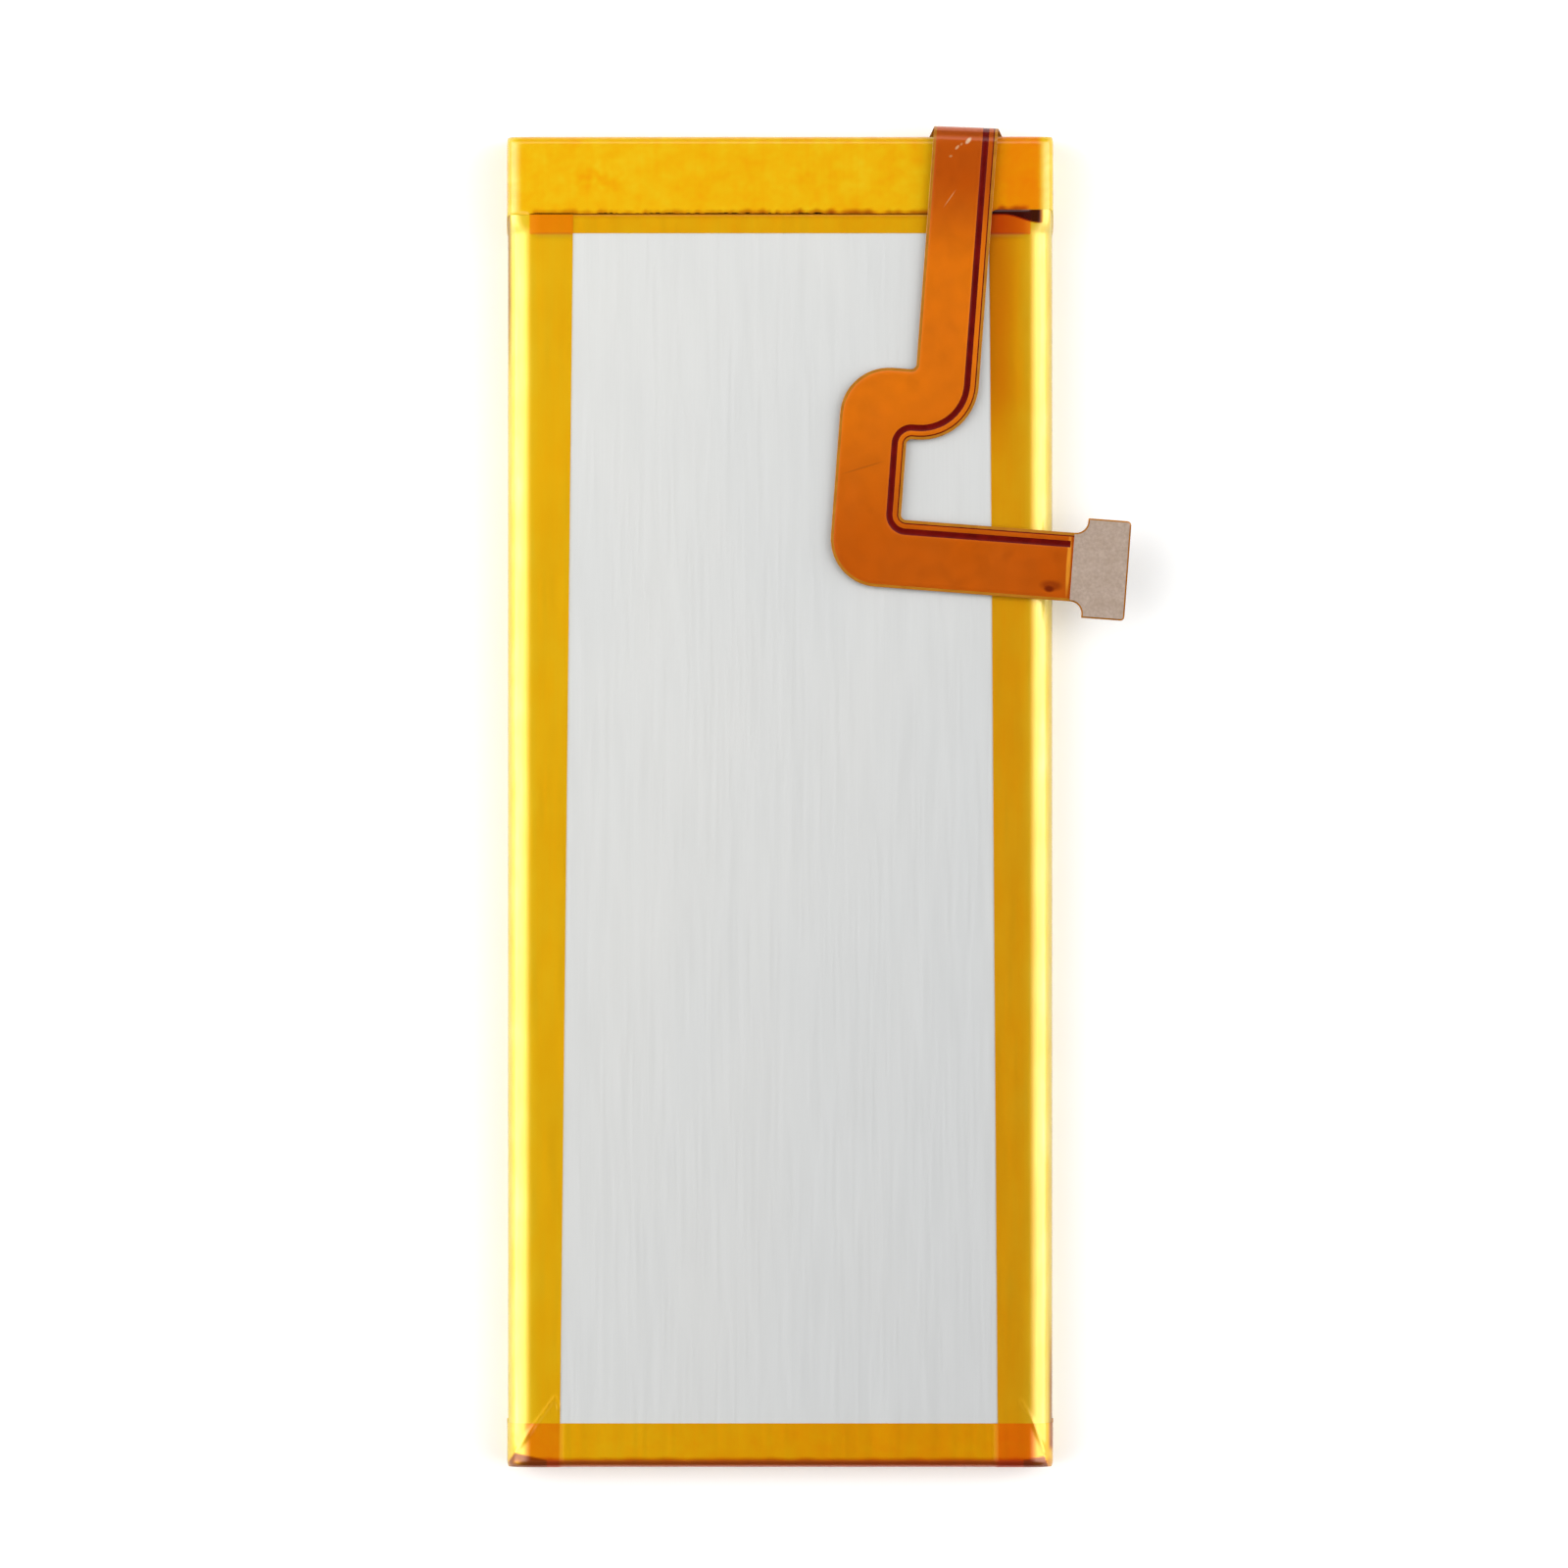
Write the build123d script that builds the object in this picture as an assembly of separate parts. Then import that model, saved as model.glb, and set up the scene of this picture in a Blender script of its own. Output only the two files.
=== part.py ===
from build123d import *
import os

# A slim lithium polymer pouch cell with its protection board and flex circuit, in millimetres.
# It lies on its back: +X is its width, +Y its length towards the taped head, +Z its thickness.
# The origin is the middle of the pouch's bare back face.

# Pack: width and length over one layer of tape, thickness between the pouch's bare faces
pack_width = 41.0
pack_length = 100.0
pack_thickness = 3.7

# Pouch: a drawn cup with fully round long edges, and its flat top seal. Its soft skin gives way a
# little under the tapes.
end_edge_radius = 0.5
seal_thickness = 0.25
terrace_length = 3.2
terrace_trim = 0.15
tape_bed = 0.02
window_margin = 0.1

# Polyimide tapes. The edge tapes are straight strips laid a little askew, so their laps taper.
tape_thickness = 0.06
edge_tape_laps = 9.2
left_lap_at_tail = 3.93
left_lap_at_head = 5.01
right_lap_at_tail = 4.13
right_lap_at_head = 4.83
tail_lap_front = 3.31
tail_lap_back = 3.6
shoulder_lap = 1.4
head_lap_back = 2.2

# Head: the block past the cup's shoulder, with a hollow moulded cover under its tape
head_length = 5.45
head_gap = 0.35
cover_wall = 0.3
cover_end_wall = 1.2
cover_roof = 0.38
cover_lift = 0.08
slot_clearance = 0.12
insulator_thickness = 0.1

# Protection board, which lies over the terrace with its small parts below and its plates on top
board_end_gap = 1.24
board_width = 3.4
board_thickness = 0.6
board_corner = 0.3
board_gap = 0.25
part_clearance = 0.08
part_gap = 0.6
parts_inset = 7.45

# Small parts below the board: length, width and height of each, then their leads, pads and caps
mosfet_size = (3.0, 2.0, 0.8)
controller_size = (2.9, 1.6, 0.95)
sense_resistor_size = (3.2, 1.6, 0.6)
fuse_size = (3.2, 1.6, 0.8)
thermistor_size = (1.6, 0.8, 0.8)
capacitor_size = (1.0, 0.5, 0.5)
resistor_size = (1.0, 0.5, 0.35)
mosfet_pads_per_side = 4
controller_leads_per_side = 3
long_cap = 0.5
middle_cap = 0.35
short_cap = 0.25
lead_thickness = 0.12
lead_width = 0.35
lead_reach = 0.6
lead_pitch = 0.95
pad_thickness = 0.06
pad_reach = 0.1

# Tabs, the film that seals them in, and the plates that they are welded to
tab_width = 4.0
tab_thickness = 0.1
tab_inset = 6.0
plate_flex_gap = 6.62
tab_fold_gap = 0.4
tab_fold_radius = 0.3
tab_overlap = 2.4
sealant_margin = 1.2
sealant_reach = 0.6
sealant_thickness = 0.2
plate_length = 5.0
plate_width = 2.6
plate_thickness = 0.15
foam_gap = 0.05

# Flex circuit: a film with two raised copper pours, set askew because its bend is askew
film_thickness = 0.12
copper_relief = 0.03
film_border = 0.25
pour_gap = 0.42
pour_gap_inset = 0.88
flex_turn = 4.3
flex_inset = 6.6
bend_setback = 0.4
flex_rise = 0.45
root_width = 5.56
root_length = 3.0
run_width = 4.8
jog_drop = 17.35
jog_width = 5.25
jog_reach = 5.45
leg_width = 5.15
arm_drop = 6.08
arm_width = 5.17
arm_length = 13.1
outer_jog_radius = 3.7
inner_jog_radius = 4.35
outer_arm_radius = 3.6
tight_radius = 0.4

# Flex end: a wide pad with a stiffener above and a plug below
pad_length = 3.25
pad_step = 1.165
pad_step_flat = 0.265
pad_corner = 0.3
neck_length = 0.95
stiffener_inset = 0.12
stiffener_thickness = 0.2

# Board-to-board plug
plug_length = 6.2
plug_width = 2.5
plug_height = 0.75
plug_wall = 0.4
plug_groove = 0.45
plug_groove_depth = 0.5
plug_corner = 0.15
contact_thickness = 0.08
contact_reach = 0.3
contact_depth = 0.42
signal_contact_width = 0.25
signal_contact_pitch = 0.8
signal_contacts_per_side = 4
power_contact_width = 0.9

# Solder fillets where the flex's root meets the board
joint_width = 1.1
joint_length = 0.4
joint_pitch = 1.7
joint_count = 3

# How far a cutting shape runs past what it cuts
past = 1.0

# Places that follow from the sizes above
half_pack = pack_width / 2
wide = half_pack + past
above = pack_thickness + past
middle_z = pack_thickness / 2
core_width = pack_width - 2 * tape_thickness
core_thickness = pack_thickness - 2 * tape_bed
flat_width = core_width - core_thickness
tail_y = -pack_length / 2 + tape_thickness
head_end_y = pack_length / 2 - tape_thickness
head_front_y = pack_length / 2 - head_length
shoulder_y = head_front_y - head_gap - tape_thickness
tail_front_line = -pack_length / 2 + tail_lap_front
tail_back_line = -pack_length / 2 + tail_lap_back
shoulder_line = shoulder_y - shoulder_lap
head_back_line = shoulder_y - head_lap_back
terrace_top = tape_bed + seal_thickness
terrace_end = shoulder_y + terrace_length
terrace_width = flat_width - 2 * terrace_trim
insulator_top = terrace_top + insulator_thickness
tallest_part = max(size[2] for size in (mosfet_size, controller_size, fuse_size, thermistor_size))
board_length = core_width - 2 * (cover_end_wall + board_end_gap)
board_bottom = insulator_top + part_clearance + tallest_part
board_top = board_bottom + board_thickness
board_front = head_front_y + cover_wall + board_gap
board_back = board_front + board_width
board_middle = (board_front + board_back) / 2
tab_z = tape_bed + seal_thickness / 2
tab_top_z = board_top + plate_thickness + tab_thickness / 2
tab_fold_y = board_back + tab_fold_gap
roof_z = pack_thickness - tape_bed - cover_roof
flex_x = half_pack - flex_inset
flex_z = pack_thickness + flex_rise
bend_y = pack_length / 2 - bend_setback
bend_radius = (flex_z - board_top) / 2
bend_z = board_top + film_thickness / 2 + bend_radius
bend_reach = bend_radius + film_thickness / 2
half_run = run_width / 2
half_root = root_width / 2
leg_left = -half_run - jog_reach
leg_right = leg_left + leg_width
jog_bottom = jog_drop + jog_width
arm_top = jog_bottom + arm_drop
arm_bottom = arm_top + arm_width
arm_middle = (arm_top + arm_bottom) / 2
neck_start = leg_right + arm_length
pad_start = neck_start + neck_length
pad_end = pad_start + pad_length
pad_width = arm_width + 2 * pad_step
half_pad = pad_width / 2
pad_fillet = pad_step - pad_step_flat


def block(x_low, x_high, y_low, y_high, z_low, z_high):
    """A rectangular block between two corners."""
    size = Box(x_high - x_low, y_high - y_low, z_high - z_low, align=Align.MIN)
    return Pos(x_low, y_low, z_low) * size


def prism(points, z_low, z_high):
    """An upright prism over an outline of straight sides."""
    outline = make_face(Polyline(*points, close=True))
    return extrude(Pos(0, 0, z_low) * outline, z_high - z_low)


def long_form(growth, y_high):
    """The pack's section with its round long edges, grown all round, from the tail up to y_high."""
    section = SlotOverall(core_width + 2 * growth, core_thickness + 2 * growth)
    section = Plane.XZ.offset(-y_high - growth) * Pos(0, middle_z) * section
    return extrude(section, y_high - tail_y + 2 * growth)


def core_form(y_high):
    """The form under the tapes. Its ends are bevelled, so that they stay inside the tapes' rounds."""
    form = long_form(0, y_high)
    return chamfer(form.faces().filter_by(Axis.Y).edges(), end_edge_radius)


def rounded_form(growth, y_high):
    """The form that a tape follows, with rounds at its ends."""
    form = long_form(growth, y_high)
    return fillet(form.faces().filter_by(Axis.Y).edges(), end_edge_radius + growth)


def tape_layer(number, y_high):
    """One layer of tape all over the pack's form, counted outwards from 1."""
    inner = (number - 1) * tape_thickness
    return rounded_form(inner + tape_thickness, y_high) - rounded_form(inner, y_high)


def lap_space(side, tail_lap, head_lap, y_low, y_high, grow=0):
    """The space beyond a tape's inner edge on the front, and on the back, where the lap is the rest."""
    outside = side * wide

    def edge(y, lap_at_tail, lap_at_head):
        lap = lap_at_tail + (lap_at_head - lap_at_tail) * (y / pack_length + 0.5)
        return side * (half_pack - lap - grow)

    def half(lap_at_tail, lap_at_head, z_low, z_high):
        low = y_low - grow
        high = y_high + grow
        corners = [
            (outside, low),
            (outside, high),
            (edge(high, lap_at_tail, lap_at_head), high),
            (edge(low, lap_at_tail, lap_at_head), low),
        ]
        return prism(corners, z_low, z_high)

    front = half(tail_lap, head_lap, middle_z, above)
    back = half(edge_tape_laps - tail_lap, edge_tape_laps - head_lap, -past, middle_z)
    return front + back


def left_space(grow=0):
    """The space of the left edge tape, which ends at the shoulder."""
    return lap_space(-1, left_lap_at_tail, left_lap_at_head, tail_y, shoulder_y, grow)


def right_space(grow=0):
    """The space of the right edge tape, which runs on over the head."""
    return lap_space(1, right_lap_at_tail, right_lap_at_head, tail_y, head_end_y, grow)


def band_space(y_low_front, y_high_front, y_low_back, y_high_back):
    """The space across the whole width between two lines on the front and two on the back."""
    front = block(-wide, wide, y_low_front, y_high_front, middle_z, above)
    back = block(-wide, wide, y_low_back, y_high_back, -past, middle_z)
    return front + back


def shoulder_space(grow=0):
    """The space of the shoulder tape, on the flat front and down the shoulder's wall."""
    half = flat_width / 2 + grow
    wall_end = shoulder_y + tape_thickness + grow
    low = insulator_top + part_clearance
    return block(-half, half, shoulder_line - grow, wall_end, low, above)


def window(front):
    """The bare face between the tapes, which stands above the bed that the tapes lie in."""
    if front:
        laps = (left_lap_at_tail, left_lap_at_head, right_lap_at_tail, right_lap_at_head)
        low, high = tail_front_line + window_margin, shoulder_line - window_margin
        z_low, z_high = pack_thickness - tape_bed - seal_thickness, pack_thickness
    else:
        laps = [
            edge_tape_laps - lap
            for lap in (left_lap_at_tail, left_lap_at_head, right_lap_at_tail, right_lap_at_head)
        ]
        low, high = tail_back_line + window_margin, head_back_line - window_margin
        z_low, z_high = 0, tape_bed + seal_thickness

    def inner(y, lap_at_tail, lap_at_head):
        lap = lap_at_tail + (lap_at_head - lap_at_tail) * (y / pack_length + 0.5)
        return half_pack - lap - window_margin

    corners = [
        (-inner(low, laps[0], laps[1]), low),
        (inner(low, laps[2], laps[3]), low),
        (inner(high, laps[2], laps[3]), high),
        (-inner(high, laps[0], laps[1]), high),
    ]
    return prism(corners, z_low, z_high)


def cell_pouch():
    """The sealed pouch: cup, bare faces and the flat top seal that forms the head's floor."""
    half = terrace_width / 2
    terrace = block(-half, half, shoulder_y - past, terrace_end, tape_bed, terrace_top)
    return core_form(shoulder_y) + terrace + window(True) + window(False)


def shoulder_tape():
    """A strip over the shoulder's edge, from the front face down to the terrace."""
    return tape_layer(1, shoulder_y) & shoulder_space()


def edge_tape(space, y_high):
    """A strip folded round one long edge. It climbs over the end of the shoulder tape."""
    lower = (tape_layer(1, y_high) & space) - shoulder_space()
    upper = tape_layer(2, y_high) & space & shoulder_space(tape_thickness)
    return lower + upper


def left_edge_tape():
    """The left edge tape, rounded with the shoulder on the front and flat with the terrace behind."""
    front = block(-wide, 0, tail_y, shoulder_y, middle_z, above)
    back = block(-wide, 0, tail_y, shoulder_y, -past, middle_z)
    space = left_space()
    return edge_tape(space & front, shoulder_y) + edge_tape(space & back, head_end_y)


def right_edge_tape():
    """The right edge tape."""
    return edge_tape(right_space(), head_end_y)


def over_edge_tapes(space, y_high):
    """A tape in the given space that lies on the pack, and on the edge tapes where it meets them."""
    lower = (tape_layer(1, y_high) & space) - left_space() - right_space()
    grown = left_space(tape_thickness) + right_space(tape_thickness)
    upper = tape_layer(2, y_high) & space & grown
    return lower + upper


def tail_tape():
    """The tape folded over the tail end like a cap."""
    end = -pack_length / 2
    space = band_space(end, tail_front_line, end, tail_back_line)
    return over_edge_tapes(space, shoulder_y)


def exit_slot(clearance):
    """The space that the flex's root needs through the head's end."""
    half = half_root + clearance
    rise = bend_setback / 2
    return block(
        flex_x - half,
        flex_x + half,
        bend_y - past,
        pack_length / 2 + past,
        board_top - clearance,
        board_top + film_thickness + rise + clearance,
    )


def head_tape():
    """The tape wrapped over the head, slit for the flex."""
    end = pack_length / 2
    space = band_space(head_front_y, end, head_back_line, end)
    return over_edge_tapes(space, head_end_y) - exit_slot(slot_clearance)


def board_cover():
    """The white moulding, open below, that gives the head its block form."""
    low = insulator_top + cover_lift
    inner = core_width / 2 - cover_end_wall
    shell = core_form(head_end_y)
    shell &= block(-wide, wide, head_front_y, pack_length / 2, low, pack_thickness)
    hollow = block(-inner, inner, head_front_y + cover_wall, head_end_y - cover_wall, 0, roof_z)
    return shell - hollow - exit_slot(slot_clearance)


def terrace_insulator():
    """The strip between the terrace and the board's parts."""
    half = terrace_width / 2
    return block(
        -half, half, shoulder_y + tape_thickness, terrace_end, terrace_top, insulator_top
    )


def protection_board():
    """The circuit board, with rounded corners."""
    outline = RectangleRounded(board_length, board_width, board_corner)
    return extrude(Pos(0, board_middle, board_bottom) * outline, board_thickness)


def tab_x(side):
    """The middle of a tab: -1 for the negative one, 1 for the positive one."""
    if side < 0:
        return -board_length / 2 + tab_inset
    return flex_x - half_root - plate_flex_gap - plate_length / 2


def tab(side):
    """A tab from the seal, folded up past the board's edge and back over its plate."""
    path = FilletPolyline(
        (terrace_end, tab_z),
        (tab_fold_y, tab_z),
        (tab_fold_y, tab_top_z),
        (tab_fold_y - tab_fold_gap - tab_overlap, tab_top_z),
        radius=tab_fold_radius,
    )
    strip = trace(path, tab_thickness)
    return extrude(Plane.YZ.offset(tab_x(side) - tab_width / 2) * strip, tab_width)


def tab_sealant(side):
    """The film sleeve round a tab where it leaves the seal."""
    half = tab_width / 2 + sealant_margin
    sleeve = block(
        tab_x(side) - half,
        tab_x(side) + half,
        terrace_end,
        terrace_end + sealant_reach,
        tab_z - sealant_thickness / 2,
        tab_z + sealant_thickness / 2,
    )
    return sleeve - tab(side)


def weld_plate(side):
    """The nickel plate under a tab's end."""
    back = board_back - board_gap
    return block(
        tab_x(side) - plate_length / 2,
        tab_x(side) + plate_length / 2,
        back - plate_width,
        back,
        board_top,
        board_top + plate_thickness,
    )


def foam_pad():
    """The foam strip between the tabs and the cover's roof."""
    low = tab_top_z + tab_thickness / 2 + foam_gap
    right = flex_x - half_root - board_gap
    return block(-board_length / 2, right, board_front, board_back, low, roof_z)


def chip(x, size, cap):
    """A two-ended chip part below the board, with its metal end caps a little proud."""
    length, width, height = size
    body = block(
        x - length / 2 + cap / 2,
        x + length / 2 - cap / 2,
        board_middle - width / 2 + pad_thickness / 2,
        board_middle + width / 2 - pad_thickness / 2,
        board_bottom - height + pad_thickness / 2,
        board_bottom - pad_thickness / 2,
    )
    for side in (-1, 1):
        middle = x + side * (length - cap) / 2
        body += block(
            middle - cap / 2,
            middle + cap / 2,
            board_middle - width / 2,
            board_middle + width / 2,
            board_bottom - height,
            board_bottom,
        )
    return body


def flat_package(x, size, pads):
    """A leadless package below the board: a chamfered body on a row of pads along each side."""
    length, width, height = size
    lid_z = board_bottom - height
    body = block(
        x - length / 2,
        x + length / 2,
        board_middle - width / 2,
        board_middle + width / 2,
        lid_z,
        board_bottom - pad_thickness,
    )
    body = chamfer(body.faces().sort_by(Axis.Z)[0].edges(), pad_thickness)
    pitch = length / pads
    for index in range(pads):
        middle = x + (index - (pads - 1) / 2) * pitch
        body += block(
            middle - pitch / 4,
            middle + pitch / 4,
            board_middle - width / 2 - pad_reach,
            board_middle + width / 2 + pad_reach,
            board_bottom - pad_thickness,
            board_bottom,
        )
    return body


def leaded_package(x, size, leads):
    """A moulded package below the board, with a row of bent leads along each side."""
    length, width, height = size
    foot_z = board_bottom - lead_thickness / 2
    side_z = board_bottom - height / 2
    body = block(
        x - length / 2,
        x + length / 2,
        board_middle - width / 2,
        board_middle + width / 2,
        board_bottom - height,
        board_bottom - lead_thickness,
    )
    body = chamfer(body.faces().sort_by(Axis.Z)[0].edges(), pad_reach)
    path = Polyline(
        (width / 2 - pad_reach, side_z),
        (width / 2 + lead_reach / 3, side_z),
        (width / 2 + lead_reach / 2, foot_z),
        (width / 2 + lead_reach, foot_z),
    )
    profile = trace(path, lead_thickness)
    for index in range(leads):
        low = x + (index - (leads - 1) / 2) * lead_pitch - lead_width / 2
        lead = extrude(Plane.YZ.offset(low) * profile, lead_width)
        body += Pos(0, board_middle) * lead
        body += Pos(0, board_middle) * mirror(lead, Plane.XZ)
    return body


def in_flex_frame(shape):
    """Moves a shape from the flex circuit's own frame, at its bend, to its place on the pack."""
    return Pos(flex_x, bend_y) * Rot(0, 0, -flex_turn) * shape


def in_bend_frame(shape):
    """Moves a shape from the bend's frame, where the bend's axis is X, to its place."""
    return Pos(flex_x, bend_y, bend_z) * Rot(0, 0, -flex_turn / 2) * shape


def flex_outline():
    """The outline of the flat part: run, jog, leg, arm, neck and pad."""
    start = bend_reach
    corners = [
        ((-half_run, start), 0),
        ((-half_run, -jog_drop), tight_radius),
        ((leg_left, -jog_drop), outer_jog_radius),
        ((leg_left, -arm_bottom), outer_arm_radius),
        ((pad_start, -arm_bottom), pad_fillet),
        ((pad_start, -arm_middle - half_pad), 0),
        ((pad_end, -arm_middle - half_pad), pad_corner),
        ((pad_end, -arm_middle + half_pad), pad_corner),
        ((pad_start, -arm_middle + half_pad), 0),
        ((pad_start, -arm_top), pad_fillet),
        ((leg_right, -arm_top), tight_radius),
        ((leg_right, -jog_bottom), tight_radius),
        ((half_run, -jog_bottom), inner_jog_radius),
        ((half_run, start), 0),
    ]
    points = [point for point, radius in corners]
    radii = [radius for point, radius in corners]
    return make_face(FilletPolyline(*points, radius=radii, close=True))


def pour_gap_line():
    """The bare line between the two copper pours, which follows the inner edge of the flex."""
    path = FilletPolyline(
        (half_run - pour_gap_inset, 2 * bend_reach),
        (half_run - pour_gap_inset, -jog_bottom + pour_gap_inset),
        (leg_right - pour_gap_inset, -jog_bottom + pour_gap_inset),
        (leg_right - pour_gap_inset, -arm_top - pour_gap_inset),
        (neck_start, -arm_top - pour_gap_inset),
        radius=[
            inner_jog_radius - pour_gap_inset,
            tight_radius + pour_gap_inset,
            tight_radius + pour_gap_inset,
        ],
    )
    return trace(path, pour_gap)


def run_side(shape):
    """Keeps what lies on the run's side of the bend's axis."""
    reach = 2 * pack_length
    return shape & in_bend_frame(block(-reach, reach, -reach, 0, -reach, reach))


def flat_part():
    """The flex's flat part over the front face, with its pours."""
    outline = flex_outline()
    film = extrude(Pos(0, 0, flex_z) * outline, film_thickness)
    inside = offset(outline, -film_border, kind=Kind.INTERSECTION)
    top = flex_z + film_thickness
    past_neck = Pos(neck_start + pad_width, -arm_middle) * Rectangle(2 * pad_width, 2 * pad_width)
    pours = extrude(Pos(0, 0, top) * (inside - pour_gap_line() - past_neck), copper_relief)
    return run_side(in_flex_frame(film + pours))


def bent_strip(low, high, inner, outer, turn):
    """A strip round the bend, from the root's side, between two places across it and two radii."""
    middle = Pos((low + high) / 2, -(inner + outer) / 2)
    profile = Plane.XZ * middle * Rectangle(high - low, outer - inner)
    return revolve(profile, Axis.X, turn)


def bend_part():
    """The half turn over the head's end, with a wider root that narrows to the run."""
    inner = bend_radius - film_thickness / 2
    outer = bend_radius + film_thickness / 2
    film = bent_strip(-half_run, half_run, inner, outer, 180)
    flare = bent_strip(-half_root, half_root, inner, outer, 90)
    taper = [
        (-half_root, 0),
        (half_root, 0),
        (half_root, bend_setback),
        (half_run, bend_reach),
        (-half_run, bend_reach),
        (-half_root, bend_setback),
    ]
    flare &= prism(taper, -bend_reach, 0)
    edge = half_run - film_border
    gap_low = half_run - pour_gap_inset - pour_gap / 2
    pours = bent_strip(-edge, gap_low, outer, outer + copper_relief, 180)
    pours += bent_strip(gap_low + pour_gap, edge, outer, outer + copper_relief, 180)
    return in_bend_frame(film + flare + pours)


def root_part():
    """The flat root on the board, inside the cover."""
    root = block(
        flex_x - half_root,
        flex_x + half_root,
        bend_y - root_length,
        bend_y + bend_reach,
        board_top,
        board_top + film_thickness,
    )
    return run_side(root)


def flex_circuit():
    """The whole flexible printed circuit, one laminated film."""
    return flat_part() + bend_part() + root_part()


def flex_stiffener():
    """The stiff plate on the neck and the pad, set back from the film's edge."""
    inside = offset(flex_outline(), -stiffener_inset, kind=Kind.INTERSECTION)
    end = Pos(neck_start + pad_width, -arm_middle) * Rectangle(2 * pad_width, 2 * pad_width)
    plate = extrude(Pos(0, 0, flex_z + film_thickness) * (inside & end), stiffener_thickness)
    return in_flex_frame(plate)


def in_plug_frame(shape):
    """Moves a shape from the plug's frame, centred under the pad, to its place."""
    return in_flex_frame(Pos((pad_start + pad_end) / 2, -arm_middle, flex_z) * shape)


def contact(wall, width):
    """A contact's strip: a tail on the film's underside and a leg down the inside of a wall."""
    inside = wall - plug_wall
    tail = block(
        inside - contact_thickness, wall + contact_reach, -width / 2, width / 2, -contact_thickness, 0
    )
    leg = block(
        inside - contact_thickness, inside, -width / 2, width / 2, -contact_depth, 0
    )
    return tail + leg


def signal_contact_set():
    """Two facing rows of signal contacts along the plug's long walls."""
    strips = []
    for index in range(signal_contacts_per_side):
        place = (index - (signal_contacts_per_side - 1) / 2) * signal_contact_pitch
        strip = Pos(0, place) * contact(plug_width / 2, signal_contact_width)
        strips.append(strip)
        strips.append(mirror(strip, Plane.YZ))
    return strips


def power_contact_set():
    """A wide power contact at each end of the plug."""
    strip = Rot(0, 0, 90) * contact(plug_length / 2, power_contact_width)
    return [strip, mirror(strip, Plane.XZ)]


def connector_housing():
    """The plug's moulding: outer walls, a groove for the socket's walls, and a middle rib."""
    outside = extrude(RectangleRounded(plug_width, plug_length, plug_corner), -plug_height)
    groove_width = plug_width - 2 * plug_wall
    groove_length = plug_length - 2 * plug_wall
    ring = Rectangle(groove_width, groove_length)
    ring -= Rectangle(groove_width - 2 * plug_groove, groove_length - 2 * plug_groove)
    outside -= extrude(Pos(0, 0, -plug_height) * ring, plug_groove_depth)
    for strip in signal_contact_set() + power_contact_set():
        outside -= strip
    return in_plug_frame(outside)


def flex_solder_joints():
    """The solder fillets along the root's end, on the board."""
    end = bend_y - root_length
    profile = Polyline(
        (end, board_top), (end, board_top + film_thickness), (end - joint_length, board_top), close=True
    )
    face = make_face(profile)
    joints = []
    for index in range(joint_count):
        low = flex_x + (index - (joint_count - 1) / 2) * joint_pitch - joint_width / 2
        joints.append(extrude(Plane.YZ.offset(low) * face, joint_width))
    return joints


def small_parts():
    """The parts below the board, in a row from the left."""
    kinds = {
        "dual_mosfet": (flat_package, mosfet_size, mosfet_pads_per_side),
        "protection_ic": (leaded_package, controller_size, controller_leads_per_side),
        "sense_resistor": (chip, sense_resistor_size, long_cap),
        "chip_fuse": (chip, fuse_size, long_cap),
        "thermistor": (chip, thermistor_size, middle_cap),
        "filter_capacitor": (chip, capacitor_size, short_cap),
        "filter_resistor": (chip, resistor_size, short_cap),
        "id_resistor": (chip, resistor_size, short_cap),
    }
    parts = {}
    x = -board_length / 2 + parts_inset
    for name, (make, size, detail) in kinds.items():
        parts[name] = make(x + size[0] / 2, size, detail)
        x += size[0] + part_gap
    return parts


pieces = {
    "cell_pouch": cell_pouch(),
    "shoulder_tape": shoulder_tape(),
    "left_edge_tape": left_edge_tape(),
    "right_edge_tape": right_edge_tape(),
    "tail_tape": tail_tape(),
    "head_tape": head_tape(),
    "board_cover": board_cover(),
    "foam_pad": foam_pad(),
    "terrace_insulator": terrace_insulator(),
    "protection_board": protection_board(),
    "positive_tab": tab(1),
    "negative_tab": tab(-1),
    "positive_tab_sealant": tab_sealant(1),
    "negative_tab_sealant": tab_sealant(-1),
    "positive_weld_plate": weld_plate(1),
    "negative_weld_plate": weld_plate(-1),
    "flex_circuit": flex_circuit(),
    "flex_stiffener": flex_stiffener(),
    "connector_housing": connector_housing(),
    "signal_contacts": Compound(children=[in_plug_frame(s) for s in signal_contact_set()]),
    "power_contacts": Compound(children=[in_plug_frame(s) for s in power_contact_set()]),
    "flex_solder_joints": Compound(children=flex_solder_joints()),
}
pieces.update(small_parts())

os.makedirs("parts", exist_ok=True)
for name, piece in pieces.items():
    export_step(piece, f"parts/{name}.step")
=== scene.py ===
import math

import bmesh
import bpy
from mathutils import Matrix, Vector, noise


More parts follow.
